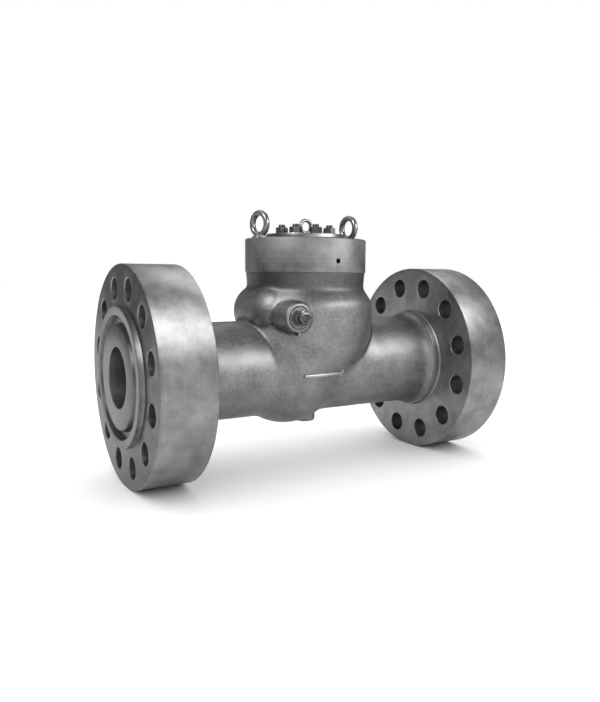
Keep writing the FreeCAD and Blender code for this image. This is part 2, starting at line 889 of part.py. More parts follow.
def make_pin():
    reach = sized("pin_reach") - "seat_fit"
    edge = sized("pin_edge")
    return place_on_pin(cross_piece("hinge_pin", [
        (-reach, 0),
        (reach, 0),
        (reach, sized("pin_r") - edge),
        (reach - edge, "pin_r"),
        (edge - reach, "pin_r"),
        (-reach, sized("pin_r") - edge),
    ]))


def make_pair(label, inner_end, outer_end, inner_r, outer_r):
    """Two equal rings on the pin, one each side of the pipe's middle plane."""
    body = new_body(label)
    profile = new_sketch(body, f"{label}_profile", "XZ_Plane")
    outline(profile, [(inner_end, inner_r), (outer_end, inner_r), (outer_end, outer_r),
                      (inner_end, outer_r)])
    ring = revolve(body, profile, "H_Axis")
    mirror = body.newObject("PartDesign::Mirrored", f"{label}_mirror")
    mirror.Originals = [ring]
    plane = [item for item in body.Origin.OriginFeatures if item.Role == "YZ_Plane"][0]
    mirror.MirrorPlane = (plane, [""])
    body.Tip = mirror
    return place_on_pin(body)


def make_bushes():
    end = sized("arm_hub_half")
    inner = sized("pin_r") + "running_fit"
    outer = sized("pin_r") + "bush_wall"
    return make_pair("arm_bushes", end - "bush_length", end, inner, outer)


def make_pin_spacers():
    inner_end = sized("arm_hub_half") + "seat_fit"
    outer_end = sized("hood_room_half") - "seat_fit"
    return make_pair("pin_spacers", inner_end, outer_end, sized("pin_r") + "seat_fit",
                     sized("arm_hub_r") - "spacer_in")


def make_plug_gasket():
    low = sized("boss_front") - "port_face_sink"
    high = low + "plug_gasket_thick"
    inner = sized("port_r") + "seat_fit"
    return place_on_pin(cross_piece("plug_gasket", [
        (low, inner), (high, inner), (high, "plug_collar_r"), (low, "plug_collar_r"),
    ]))


def make_plug():
    face = sized("boss_front") - "port_face_sink" + "plug_gasket_thick"
    body = cross_piece("pin_plug", [
        (face - "plug_shank", 0),
        (face - "plug_shank", sized("port_r") - "seat_fit"),
        (face, sized("port_r") - "seat_fit"),
        (face, "plug_collar_r"),
        (face + "plug_collar_thick", "plug_collar_r"),
        (face + "plug_collar_thick", 0),
    ])
    head = new_sketch(body, "plug_hex", "YZ_Plane", face + "plug_collar_thick")
    hexagon(head, 0, "plug_flats")
    pad(body, head, "plug_hex_height")
    top = face + "plug_collar_thick" + "plug_hex_height"
    hole = new_sketch(body, "screw_hole", "YZ_Plane", top - "screw_shank" - CUT_OVER)
    ring_line(hole, 0, 0, sized("screw_r") + "seat_fit")
    pad(body, hole, sized("screw_shank") + CUT_OVER * 2, backwards=True, kind="Pocket")
    return place_on_pin(body)


def make_plug_screw():
    face = (sized("boss_front") - "port_face_sink" + "plug_gasket_thick"
            + "plug_collar_thick" + "plug_hex_height")
    body = new_body("plug_centre_screw")
    rod = new_sketch(body, "screw_rod", "YZ_Plane", face - "screw_shank")
    ring_line(rod, 0, 0, "screw_r")
    pad(body, rod, "screw_shank")
    head = new_sketch(body, "screw_hex", "YZ_Plane", face)
    hexagon(head, 0, "screw_flats")
    pad(body, head, "screw_height")
    return place_on_pin(body)


def make_arm():
    """The arm, measured from the pin: a hub, a shank that comes down behind the disc, and
    the eye that carries the disc's stem."""
    front = arm_eye_x - pin_x
    back = front + "arm_eye_thick"
    eye_z = -pin_z
    hub = sized("arm_hub_r")
    rise = sized("arm_root_rise")
    fall = sized("arm_root_fall")
    body = new_body("hinge_arm")
    side = new_sketch(body, "arm_side", "XZ_Plane")
    outline(side, [
        (front, eye_z),
        (back, eye_z),
        (back, -sized("arm_outer_knee")),
        (hub * cosine(rise), hub * sine(rise)),
        (hub * cosine(fall), -(hub * sine(fall))),
        (front, -sized("arm_inner_knee")),
    ])
    pad(body, side, sized("arm_half") * 2, middle=True)
    hub_line = new_sketch(body, "hub_section", "XZ_Plane")
    ring_line(hub_line, 0, 0, hub)
    pad(body, hub_line, sized("arm_hub_half") * 2, middle=True)
    eye_line = new_sketch(body, "eye_section", "YZ_Plane", front)
    ring_line(eye_line, 0, eye_z, "arm_eye_r")
    pad(body, eye_line, "arm_eye_thick")
    stem_hole = new_sketch(body, "stem_hole", "YZ_Plane")
    ring_line(stem_hole, 0, eye_z, sized("stem_r") + "bush_wall" + "seat_fit")
    pocket_through(body, stem_hole)
    bush_hole = new_sketch(body, "bush_hole", "XZ_Plane")
    ring_line(bush_hole, 0, 0, sized("pin_r") + "bush_wall" + "seat_fit")
    pocket_through(body, bush_hole)
    place(body, half_run + pin_x, 0, pin_z)
    return body


def make_eye_bush():
    inner = sized("stem_r") + "running_fit"
    outer = sized("stem_r") + "bush_wall"
    end = arm_eye_x + "arm_eye_thick"
    return turned_piece("arm_eye_bush", [
        (arm_eye_x, inner), (end, inner), (end, outer), (arm_eye_x, outer),
    ], "H_Axis")


def make_disc():
    rim = disc_x + "disc_rim_thick"
    back = disc_x + "disc_thick"
    sink = sized("disc_face_sink")
    land = sized("bore_r") - "disc_land_in"
    edge = sized("disc_edge")
    body = turned_piece("disc", [
        (disc_x + sink, 0),
        (disc_x + sink, land - sink),
        (disc_x, land),
        (disc_x, sized("disc_r") - edge),
        (disc_x + edge, "disc_r"),
        (rim, "disc_r"),
        (back, sized("disc_boss_r") + "disc_back_slope"),
        (back, "disc_boss_r"),
        (disc_back_x, "disc_boss_r"),
        (disc_back_x, "stem_r"),
        (washer_x - "seat_fit", "stem_r"),
        (washer_x - "seat_fit", "thread_r"),
        (stem_end_x, "thread_r"),
        (stem_end_x, 0),
    ], "H_Axis")
    cross = new_sketch(body, "cross_hole", "XZ_Plane")
    ring_line(cross, split_pin_x, 0, sized("split_pin_r") + "seat_fit")
    pocket_through(body, cross)
    return body


def make_disc_washer():
    hole = sized("thread_r") + "seat_fit"
    return turned_piece("disc_washer", [
        (washer_x, hole), (nut_x, hole), (nut_x, "washer_r"), (washer_x, "washer_r"),
    ], "H_Axis")


def make_disc_nut():
    body = new_body("disc_nut")
    section = new_sketch(body, "disc_nut_section", "YZ_Plane", nut_x)
    hexagon(section, 0, "nut_flats")
    ring_line(section, 0, 0, sized("thread_r") + "seat_fit")
    pad(body, section, "nut_height")
    slot = new_sketch(body, "nut_slot", "XY_Plane")
    half = sized("split_pin_r") + "seat_fit"
    rectangle(slot, split_pin_x - half, -sized("nut_flats"), nut_x + "nut_height" + CUT_OVER, "nut_flats")
    pad(body, slot, half * 2, middle=True, kind="Pocket")
    place(body, x=half_run)
    return body


def make_split_pin():
    reach = sized("nut_flats") / 2 + "split_pin_over"
    rod = cylinder("split_pin_rod", "split_pin_r", reach * 2, 0, reach, 0, X_AXIS, 90)
    head = doc.addObject("Part::Torus", "split_pin_head")
    bind(head, "Radius1", "split_eye_r")
    bind(head, "Radius2", "split_eye_wire_r")
    place(head, 0, -reach - sized("split_pin_r"), 0)
    pin = fused("disc_split_pin", [rod, head])
    place(pin, x=half_run + split_pin_x)
    return pin


def make_flange_pair():
    return [make_flange("inlet_flange", False), make_flange("outlet_flange", True)]


parts = make_flange_pair() + [
    make_casting(),
    make_seat_ring(),
    make_bonnet(),
    make_gasket(),
    make_spacer_ring(),
    make_segments(),
    make_plate(),
    make_studs(),
    make_stud_nuts(),
    make_body_eyes(),
    make_cover_eye(),
    make_pin(),
    make_bushes(),
    make_pin_spacers(),
    make_plug_gasket(),
    make_plug(),
    make_plug_screw(),
    make_disc(),
    make_disc_washer(),
    make_disc_nut(),
    make_split_pin(),
    make_arm(),
    make_eye_bush(),
]
doc.recompute()

failed = [item.Name for item in doc.Objects if {"Invalid", "Error"} & set(item.State)]
if failed:
    raise SystemExit(f"failed objects: {failed}")
os.makedirs("parts", exist_ok=True)
for part in parts:
    shape = part.Shape
    if shape.isNull() or not shape.isValid():
        raise SystemExit(f"{part.Label} has no valid shape")
    shape.exportStep(f"parts/{part.Label}.step")
    box = shape.BoundBox
    print(f"{part.Label}: {len(shape.Solids)} solids, {shape.Volume / 1e6:.3f} dm3,",
          f"{box.XMin:.1f}..{box.XMax:.1f} {box.YMin:.1f}..{box.YMax:.1f} {box.ZMin:.1f}..{box.ZMax:.1f}")
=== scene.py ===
# %% [markdown]
# # A swing non-return valve
#
# The real object is a heavy steel valve: a cast body with a round bowl, a forged flange at
# each end, a thick rim on top that holds the bonnet, and a disc on a swinging arm inside.
# This lesson dresses the CAD model of the valve. The CAD gives every size, every joint and
# every hidden piece; Blender gives the cast skin, the soft creases and the finishes.

# %% Load the frame
import math

import bmesh
import bpy
from mathutils import Matrix, Vector, noise
from mathutils.bvhtree import BVHTree
from mathutils.kdtree import KDTree


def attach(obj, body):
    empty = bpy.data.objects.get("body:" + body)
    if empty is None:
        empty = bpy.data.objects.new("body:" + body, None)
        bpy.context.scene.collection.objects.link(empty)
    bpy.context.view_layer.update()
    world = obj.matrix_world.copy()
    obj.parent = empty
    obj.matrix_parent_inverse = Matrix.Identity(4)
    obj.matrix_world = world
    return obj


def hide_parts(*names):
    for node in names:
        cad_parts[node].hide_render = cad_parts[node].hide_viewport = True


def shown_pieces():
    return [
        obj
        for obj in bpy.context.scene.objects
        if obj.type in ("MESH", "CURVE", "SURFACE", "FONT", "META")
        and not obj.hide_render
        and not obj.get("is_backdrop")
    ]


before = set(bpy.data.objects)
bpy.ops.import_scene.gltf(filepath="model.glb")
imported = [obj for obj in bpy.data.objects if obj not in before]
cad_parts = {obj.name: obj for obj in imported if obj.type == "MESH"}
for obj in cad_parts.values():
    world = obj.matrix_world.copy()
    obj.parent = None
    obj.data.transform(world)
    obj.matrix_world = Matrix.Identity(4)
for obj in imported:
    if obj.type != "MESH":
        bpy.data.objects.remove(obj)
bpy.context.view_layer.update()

# %% [markdown]
# ## Helpers for shapes
#
# Nearly every piece of a valve is turned, so most shapes here are a half outline that
# `bmesh.ops.spin` carries round an axis. An outline is a list of (radius, height) in
# millimetres. A few small helpers lay it along the flow, the hinge pin or the bonnet, make
# an object out of it, and join or cut closed shapes with a boolean modifier that is then
# turned into the mesh.

# %% Turned shapes
MM = 0.001
HALF_RUN = 646.1
PIN = (HALF_RUN - 150.0, 0.0, 178.0)
ROUND_STEPS = 96
# Turns that lay an outline's height along the flow, or along the hinge pin towards its plug.
ALONG_FLOW = Matrix.Rotation(math.radians(90), 4, "Y")
ALONG_PIN = Matrix.Rotation(math.radians(90), 4, "X")


def turned(outline, steps=ROUND_STEPS):
    """A closed shape from a half outline of (radius, height) points, about the Z axis."""
    shape = bmesh.new()
    points = [shape.verts.new((radius * MM, 0, height * MM)) for radius, height in outline]
    pairs = list(zip(points, points[1:]))
    if outline[0][0] > 0:
        pairs.append((points[-1], points[0]))
    edges = [shape.edges.new(pair) for pair in pairs]
    bmesh.ops.spin(shape, geom=points + edges, cent=(0, 0, 0), axis=(0, 0, 1), dvec=(0, 0, 0),
                   angle=math.tau, steps=steps, use_merge=True, use_duplicate=False)
    bmesh.ops.remove_doubles(shape, verts=shape.verts, dist=0.002 * MM)
    bmesh.ops.recalc_face_normals(shape, faces=shape.faces)
    return shape


def arc(centre_r, centre_h, radius, start, stop, steps=6):
    """Points of a rounded corner in an outline, by its start and stop angle."""
    angles = [math.radians(start + (stop - start) * k / steps) for k in range(steps + 1)]
    return [(centre_r + radius * math.cos(a), centre_h + radius * math.sin(a)) for a in angles]


def rod(radius, low, high):
    """The outline of a plain rod."""
    return [(0, low), (radius, low), (radius, high), (0, high)]


def placed(shape, x=0.0, y=0.0, z=0.0, turn=None):
    """Turns a shape, then shifts it. The place is in millimetres."""
    if turn is not None:
        bmesh.ops.transform(shape, matrix=turn, verts=shape.verts)
    bmesh.ops.translate(shape, vec=Vector((x, y, z)) * MM, verts=shape.verts)
    return shape


# %% Shapes on the valve's axes, and groups of shapes
def on_flow(outline, steps=ROUND_STEPS):
    """A turned shape on the flow's axis. Heights run from the bowl's middle to the outlet."""
    return placed(turned(outline, steps), HALF_RUN, 0, 0, ALONG_FLOW)


def on_pin(outline, steps=ROUND_STEPS):
    """A turned shape on the hinge pin's axis. Heights run from the middle to the plug."""
    return placed(turned(outline, steps), *PIN, ALONG_PIN)


def on_bonnet(outline, steps=ROUND_STEPS):
    """A turned shape on the bonnet's axis. Heights run up from the flow's axis."""
    return placed(turned(outline, steps), HALF_RUN)


def together(shapes):
    """Puts several shapes into one bmesh."""
    whole = bmesh.new()
    for shape in shapes:
        part = bpy.data.meshes.new("part")
        shape.to_mesh(part)
        whole.from_mesh(part)
        bpy.data.meshes.remove(part)
        shape.free()
    return whole


def around_axis(shape, count, start=0.0):
    """Copies a shape round the Z axis."""
    mesh = bpy.data.meshes.new("one")
    shape.to_mesh(mesh)
    shape.free()
    whole = bmesh.new()
    for number in range(count):
        before = len(whole.verts)
        whole.from_mesh(mesh)
        whole.verts.ensure_lookup_table()
        turn = Matrix.Rotation(math.radians(start + 360 * number / count), 4, "Z")
        bmesh.ops.transform(whole, matrix=turn, verts=whole.verts[before:])
    bpy.data.meshes.remove(mesh)
    return whole


print("the hinge pin's axis is at", PIN[0], "mm along the flow and", PIN[2], "mm up")

# %% Objects and booleans
def made(name, shape, finish):
    """An object at the origin, with its place in its mesh."""
    mesh = bpy.data.meshes.new(name)
    shape.to_mesh(mesh)
    shape.free()
    obj = bpy.data.objects.new(name, mesh)
    bpy.context.scene.collection.objects.link(obj)
    mesh.materials.append(finish)
    return obj


def bake(obj):
    """Turns an object's modifiers into its mesh."""
    bpy.context.view_layer.update()
    graph = bpy.context.evaluated_depsgraph_get()
    mesh = bpy.data.meshes.new_from_object(obj.evaluated_get(graph), depsgraph=graph)
    old = obj.data
    obj.modifiers.clear()
    obj.data = mesh
    mesh.name = obj.name
    if old.users == 0:
        bpy.data.meshes.remove(old)
    return obj


def combined(obj, tool, operation):
    """Cuts obj by tool, joins them, or keeps what they share, and drops the tool."""
    step = obj.modifiers.new("cut", "BOOLEAN")
    step.solver = "MANIFOLD"
    step.operation = operation
    step.object = tool
    step.material_mode = "TRANSFER"
    bake(obj)
    bpy.data.objects.remove(tool)
    return obj


def told(obj):
    """Prints what a piece measures, so that a slip shows at once."""
    obj.data.calc_loop_triangles()
    size = [round(side / MM, 1) for side in obj.dimensions]
    print(f"{obj.name}: {size} mm, {len(obj.data.loop_triangles)} triangles")
    return obj


def dressed(obj, node, degrees=30):
    """Shades a finished piece smooth, with crisp edges where the surface turns by more than
    that angle, hangs it on the valve body and hides the CAD part that it stands for."""
    obj.data.shade_smooth()
    obj.data.set_sharp_from_angle(angle=math.radians(degrees))
    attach(obj, "valve_body")
    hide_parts(node)
    return told(obj)


# %% [markdown]
# ## Helpers for finishes
#
# All the finishes are bare metal, so they share one plan. The colour of a metal is the
# colour of its reflection, and a metal with no paint looks real only when its roughness
# varies. Colours are written as hex values, as a colour picker shows them, and one function
# turns them to the linear numbers that the shader uses.

# %% Nodes and colours
def linear(hex_colour):
    """An sRGB hex value as linear RGBA."""
    parts = [int(hex_colour[k:k + 2], 16) / 255 for k in (1, 3, 5)]
    return [c / 12.92 if c <= 0.04045 else ((c + 0.055) / 1.055) ** 2.4 for c in parts] + [1.0]


def add_node(tree, kind, inputs=None, **settings):
    """Adds a node with its settings, and gives each named input a value or a link."""
    made_node = tree.nodes.new(kind)
    for name, value in settings.items():
        setattr(made_node, name, value)
    for name, value in (inputs or {}).items():
        if isinstance(value, bpy.types.NodeSocket):
            tree.links.new(value, made_node.inputs[name])
        else:
            made_node.inputs[name].default_value = value
    return made_node


def new_metal(name):
    """An empty metal material: its tree, its shader and the piece's own coordinates."""
    material = bpy.data.materials.new(name)
    material.use_nodes = True
    tree = material.node_tree
    tree.nodes.clear()
    shader = add_node(tree, "ShaderNodeBsdfPrincipled", {"Metallic": 1.0})
    output = add_node(tree, "ShaderNodeOutputMaterial")
    tree.links.new(shader.outputs["BSDF"], output.inputs["Surface"])
    spot = add_node(tree, "ShaderNodeTexCoord").outputs["Object"]
    return material, tree, shader, spot


print("mid grey in linear numbers:", [round(c, 3) for c in linear("#808080")])

# %% Noise, and what a metal makes of it
NOISE_SPREAD = (0.3, 0.7)


def per_metre(size_mm):
    """The noise scale that gives spots of about that size."""
    return 1.0 / (size_mm * MM)


def spots(tree, where, size_mm, detail, roughness=0.5):
    """Noise with spots of about that size."""
    cloud = add_node(tree, "ShaderNodeTexNoise", {
        "Vector": where, "Scale": per_metre(size_mm), "Detail": detail, "Roughness": roughness})
    return cloud.outputs["Fac"]


def blended(tree, share, first, second):
    """One noise out of two, with that share of the second."""
    return add_node(tree, "ShaderNodeMix", {
        "Factor": share, "A": first, "B": second}).outputs["Result"]


def toned(tree, value, places, dark, light):
    """A colour that goes from dark to light between two places in the noise."""
    ramp = add_node(tree, "ShaderNodeValToRGB", {"Fac": value})
    for stop, place, colour in zip(ramp.color_ramp.elements, places, (dark, light)):
        stop.position = place
        stop.color = linear(colour)
    return ramp.outputs["Color"]


def ranged(tree, value, source, result, **settings):
    """Turns the source range of a value into the result range."""
    return add_node(tree, "ShaderNodeMapRange", {
        "Value": value, "From Min": source[0], "From Max": source[1],
        "To Min": result[0], "To Max": result[1]}, **settings).outputs["Result"]


def dented(tree, height, depth_mm, strength, over=None):
    """A bump of that depth, on top of another one where it is given."""
    inputs = {"Height": height, "Strength": strength, "Distance": depth_mm * MM}
    if over is not None:
        inputs["Normal"] = over
    return add_node(tree, "ShaderNodeBump", inputs).outputs["Normal"]


def finished(tree, shader, colour, roughness, normal):
    """Links the three things that vary over a metal's surface."""
    for name, value in (("Base Color", colour), ("Roughness", roughness), ("Normal", normal)):
        tree.links.new(value, shader.inputs[name])


print("the noise scale for spots of 8 mm:", per_metre(8.0))

# %% [markdown]
# ## Shot-blasted cast steel
#
# The body is cast stainless steel, shot-blasted clean. Blasting leaves tiny dimples that
# scatter light, so the skin is satin, not shiny, and the sand of the mould leaves a slow
# waviness and darker and lighter clouds. Real grit marks are about 0.5 mm. They would not
# show in a picture where one pixel is 2 mm, so they are drawn at 3 mm and more. The creases
# and the neck under the rim get painted shade: a dark colour is mixed into the skin by a value
# named crease at each point of the casting, and by a ramp along its height on the neck under
# the rim.

# %% Cast skin, with sizes in millimetres
CAST_CLOUD, CAST_FLECK, CAST_GRIT = 60.0, 8.0, 3.2
FLECK_SHARE = 0.6
CAST_TONES = (0.33, 0.67)
# Painted shade on the neck under the rim and in the creases: heights, strength, share and colour.
NECK_HEIGHTS = (214.0, 262.0)
NECK_PAINTED_SHADE = 0.75
PAINTED_SHADE_SHARE = 0.8
PAINTED_SHADE_COLOUR = "#3d3d3c"


def mixed_painted_shade(tree, spot, unshaded):
    """Mixes painted shade into a colour, in the creases and on the neck under the rim."""
    crease = add_node(tree, "ShaderNodeAttribute", attribute_name="crease").outputs["Fac"]
    height = add_node(tree, "ShaderNodeSeparateXYZ", {"Vector": spot}).outputs["Z"]
    neck = ranged(tree, height, [value * MM for value in NECK_HEIGHTS], (0.0, NECK_PAINTED_SHADE),
                  interpolation_type="SMOOTHSTEP")
    shade_amount = add_node(tree, "ShaderNodeMath", {0: crease, 1: neck}, operation="MAXIMUM")
    share = add_node(tree, "ShaderNodeMath", {0: shade_amount.outputs["Value"], 1: PAINTED_SHADE_SHARE},
                     operation="MULTIPLY")
    # Inputs 6 and 7 of a colour mix are its two colours, and output 2 is the mixed one.
    mix = add_node(tree, "ShaderNodeMix", {
        0: share.outputs["Value"], 6: unshaded, 7: linear(PAINTED_SHADE_COLOUR)}, data_type="RGBA")
    return mix.outputs[2]


def cast_skin(name, dark, light, roughness=(0.40, 0.58), pit=0.5, with_painted_shade=False):
    """A blasted or forged skin: clouds and flecks in its tone, flecks and grit in its relief.
    The depth of a pit is in millimetres."""
    material, tree, shader, spot = new_metal(name)
    cloud = spots(tree, spot, CAST_CLOUD, 4.0)
    fleck = spots(tree, spot, CAST_FLECK, 5.0, 0.65)
    grit = spots(tree, spot, CAST_GRIT, 2.0)
    colour = toned(tree, blended(tree, FLECK_SHARE, cloud, fleck), CAST_TONES, dark, light)
    # Painted shade: the creases and the neck under the rim are darkened.
    if with_painted_shade:
        colour = mixed_painted_shade(tree, spot, colour)
    waves = dented(tree, fleck, 1.2 * pit, 0.5)
    finished(tree, shader, colour, ranged(tree, fleck, NOISE_SPREAD, roughness),
             dented(tree, grit, pit, 0.5, over=waves))
    return material


shot_blasted_cast_steel = cast_skin("shot_blasted_cast_steel", "#727271", "#a2a2a0", with_painted_shade=True)
blasted_arm_steel = cast_skin("blasted_arm_steel", "#5e5e5d", "#8a8a89")
rubbed_cast_steel = cast_skin("rubbed_cast_steel", "#a0a09e", "#c9c9c7", (0.30, 0.44), 0.3)
print("cast skins:", sorted(m.name for m in bpy.data.materials))

# %% [markdown]
# ## Turned steel
#
# Flanges, rims and plates are machined on a lathe. The tool leaves fine lines round the
# axis, too fine to see one by one here, which stretch highlights into soft bands, and the
# metal keeps faint clouds from handling. The lines follow the piece's own axis: the pattern
# reads the distance along it and the distance from it, and never the angle round it.

# %% Turned finish
TURNED_CLOUD = 60.0
LINE_SHARE = 0.25
TURNED_TONES = (0.34, 0.66)
BONNET = (HALF_RUN, 0.0, 0.0)


def turned_finish(name, dark, light, roughness, axis, centre=(0, 0, 0), line_mm=1.6, cut=0.12):
    """A lathe-turned metal. The axis is "X", "Y" or "Z" through the centre. The centre, the
    width of the lines and the depth of their cut are in millimetres."""
    material, tree, shader, spot = new_metal(name)
    local = add_node(tree, "ShaderNodeMapping", {
        "Vector": spot, "Location": [-value * MM for value in centre]})
    split = add_node(tree, "ShaderNodeSeparateXYZ", {"Vector": local.outputs["Vector"]})
    first, second = [split.outputs[letter] for letter in "XYZ" if letter != axis]
    flat = add_node(tree, "ShaderNodeCombineXYZ", {"X": first, "Y": second})
    reach = add_node(tree, "ShaderNodeVectorMath", {0: flat.outputs["Vector"]},
                     operation="LENGTH")
    lathe = add_node(tree, "ShaderNodeCombineXYZ", {
        "X": split.outputs[axis], "Y": reach.outputs["Value"]})
    lines = spots(tree, lathe.outputs["Vector"], line_mm, 3.0)
    cloud = spots(tree, spot, TURNED_CLOUD, 6.0, 0.6)
    blend = blended(tree, LINE_SHARE, cloud, lines)
    finished(tree, shader, toned(tree, blend, TURNED_TONES, dark, light),
             ranged(tree, blend, NOISE_SPREAD, roughness), dented(tree, lines, cut, 0.4))
    return material


forged_flange_steel = turned_finish("forged_flange_steel", "#808080", "#aaaaa9", (0.38, 0.48), "X")
bright_bore_steel = turned_finish("bright_bore_steel", "#8c8c8b", "#bbbbba", (0.24, 0.36), "X")
turned_rim_steel = turned_finish("turned_rim_steel", "#6e6e6e", "#949493", (0.50, 0.60), "Z",
                                 BONNET)
turned_plug_steel = turned_finish("turned_plug_steel", "#6a6a69", "#989897", (0.24, 0.38), "Y",
                                  PIN)
ground_trim_steel = turned_finish("ground_trim_steel", "#9b9b9b", "#c4c4c2", (0.16, 0.28), "X",
                                  line_mm=0.8, cut=0.04)
print("finishes so far:", sorted(m.name for m in bpy.data.materials))

# %% [markdown]
# ## The casting, first as the foundry leaves it
#
# The body is one casting: a straight run, a round bowl across it, a belly under the disc, a
# domed hood over the hinge, the boss for the hinge pin and a small boss below. A convex hull
# round the bowl's ball and the belly's ball leads one into the other, as the moulder's
# pattern does.

# %% Forms of the casting
# In millimetres, nearly all as in the CAD. BOSS is the boss for the hinge pin.
RUN_R = 157.5
JOINT_REACH = 439.5
FLARE, FLARE_R = 15.0, 55.0
FACING_STOCK = 8.0
BOWL_R, BOWL_MIDDLE = 228.0, 150.0
SHOULDER = [(228, 200), (226.8, 212), (223.4, 223), (219, 231)]
BONNET_NECK = [(197, 264), (201.5, 316.4), (201.5, 330), (0, 330)]
DRAIN_R, DRAIN_LOW, DRAIN_ROUND = 35, -195, 6
BOSS_R, BOSS_REAR, BOSS_ROUND = 47, -165, 12
BOSS_FACE, BOSS_CHAMFER = 222, 2.5
HOOD_R, HOOD_HALF = 94.0, 56.0
HOOD_X, HOOD_Z = HALF_RUN - 139, 186
BELLY_R, BELLY_X = 190, -85


def run_outline():
    """The run from flange to flange, a little wider where it meets each flange."""
    flare_run = math.sqrt(FLARE * (2 * FLARE_R - FLARE))
    slope = math.degrees(math.acos((FLARE_R - FLARE) / FLARE_R))
    rise = RUN_R + FLARE_R
    high = arc(rise, JOINT_REACH - flare_run, FLARE_R, 180, 180 - slope, 8)
    low = arc(rise, flare_run - JOINT_REACH, FLARE_R, 180 + slope, 180, 8)
    ends = JOINT_REACH + FACING_STOCK
    wide = RUN_R + FLARE
    return [(0, -ends), (wide, -ends)] + low + high + [(wide, ends), (0, ends)]


def rounded_end(radius, low, rounding):
    """The lower end of a boss, as the start of its outline."""
    return [(0, low)] + arc(radius - rounding, low + rounding, rounding, -90, 0, 4)


def belly_hull():
    """The convex hull of the belly's ball and the bowl's ball, about the bowl's middle."""
    belly = bmesh.new()
    for radius, place in ((BELLY_R, (BELLY_X, 0, 0)), (BOWL_R - 1, (0, 0, BOWL_MIDDLE))):
        ball = bmesh.ops.create_uvsphere(belly, u_segments=96, v_segments=48, radius=radius * MM)
        bmesh.ops.translate(belly, vec=[side * MM for side in place], verts=ball["verts"])
    shell = bmesh.ops.convex_hull(belly, input=belly.verts)
    bmesh.ops.delete(belly, geom=shell["geom_interior"], context="VERTS")
    return belly


bowl = arc(0, BOWL_MIDDLE, BOWL_R, -90, 0, 24) + SHOULDER + BONNET_NECK
drain_boss = rounded_end(DRAIN_R, DRAIN_LOW, DRAIN_ROUND) + [(DRAIN_R, 0), (0, 0)]
pin_boss = rounded_end(BOSS_R, BOSS_REAR, BOSS_ROUND) + [
    (BOSS_R, BOSS_FACE - BOSS_CHAMFER), (BOSS_R - BOSS_CHAMFER, BOSS_FACE), (0, BOSS_FACE)]
hood = arc(0, -HOOD_HALF, HOOD_R, -90, 0, 12) + arc(0, HOOD_HALF, HOOD_R, 0, 90, 12)
forms = [
    on_flow(run_outline()), on_bonnet(bowl), on_bonnet(drain_boss, 48), on_pin(pin_boss, 64),
    placed(turned(hood), HOOD_X, 0, HOOD_Z, ALONG_PIN), placed(belly_hull(), HALF_RUN),
]
casting = made("cast_body", together(forms), shot_blasted_cast_steel)
told(casting)

# %% [markdown]
# ### One skin with filled creases
#
# In a mould every inner corner is rounded, which hard joins between solids don't show. So a
# voxel remesh melts the forms into one skin, and each crease is then filled by moving points
# outwards only, towards a much smoother copy of the skin. Low on the body the real fillets
# are wider, so a second round with more smoothing fills only there, and not near the drain
# boss. The depth of the first fill is kept: it says where the creases are, and the painted
# shade in the creases of the cast skin follows it.

# %% Melt the forms into one skin and round the creases
SKIN_VOXEL = 4.6
CREASE_ROUNDS, LOW_ROUNDS, LAST_ROUNDS = 9, 170, 2
# The height under which the wide fillets start, and how far down they take to be full.
LOW_START, LOW_BLEND = 60.0, 90.0
# The same round the drain boss, by the distance from its axis.
DRAIN_CLEAR, DRAIN_BLEND = 45.0, 30.0


def melted(obj, voxel_mm):
    """One closed skin over all the forms."""
    step = obj.modifiers.new("skin", "REMESH")
    step.mode = "VOXEL"
    step.voxel_size = voxel_mm * MM
    step.use_smooth_shade = True
    return bake(obj)


def smoothed(skin, rounds):
    """Draws each point halfway to the middle of its neighbours, again and again."""
    for _ in range(rounds):
        bmesh.ops.smooth_vert(skin, verts=skin.verts, factor=0.5, use_axis_x=True,
                              use_axis_y=True, use_axis_z=True)


def filled_creases(obj, rounds, share=lambda spot: 1.0):
    """Fills inner corners: points move outwards only, towards a smoothed copy, and each goes
    only its share of the way. Returns how far each point went."""
    skin = bmesh.new()
    skin.from_mesh(obj.data)
    start = [point.co.copy() for point in skin.verts]
    smoothed(skin, rounds)
    skin.normal_update()
    moves = []
    for point, first in zip(skin.verts, start):
        outward = max((point.co - first).dot(point.normal), 0.0) * share(first)
        point.co = first + point.normal * outward
        moves.append(outward)
    smoothed(skin, LAST_ROUNDS)
    skin.to_mesh(obj.data)
    skin.free()
    return moves


def lowness(spot):
    """0 on the upper body, 1 low down, and a blend between them."""
    return min(max((LOW_START - spot.z / MM) / LOW_BLEND, 0.0), 1.0)


def wide_share(spot):
    """How much of the wide fillets a place gets: all low on the body, none near the drain."""
    from_drain = math.hypot(spot.x / MM - HALF_RUN, spot.y / MM)
    return lowness(spot) * min(max((from_drain - DRAIN_CLEAR) / DRAIN_BLEND, 0.0), 1.0)


melted(casting, SKIN_VOXEL)
crease_depths = filled_creases(casting, CREASE_ROUNDS)
filled_creases(casting, LOW_ROUNDS, wide_share)
crease_map = KDTree(len(crease_depths))
for number, point in enumerate(casting.data.vertices):
    crease_map.insert(point.co, number)
crease_map.balance()
print("deepest fill of a crease:", round(max(crease_depths) / MM, 1), "mm")
told(casting)

# %% [markdown]
# ## Cast marks: a flow arrow and a small lug
#
# Every check valve needs a flow arrow, and the foundry casts a plain one onto the bowl. It
# is drawn flat, extruded, and then wrapped round the bowl, so that it stands equally proud
# all over. Slings and gloves rub it bright, so it has a paler and smoother finish. A small
# round lug under the pin's boss was the mould's vent.

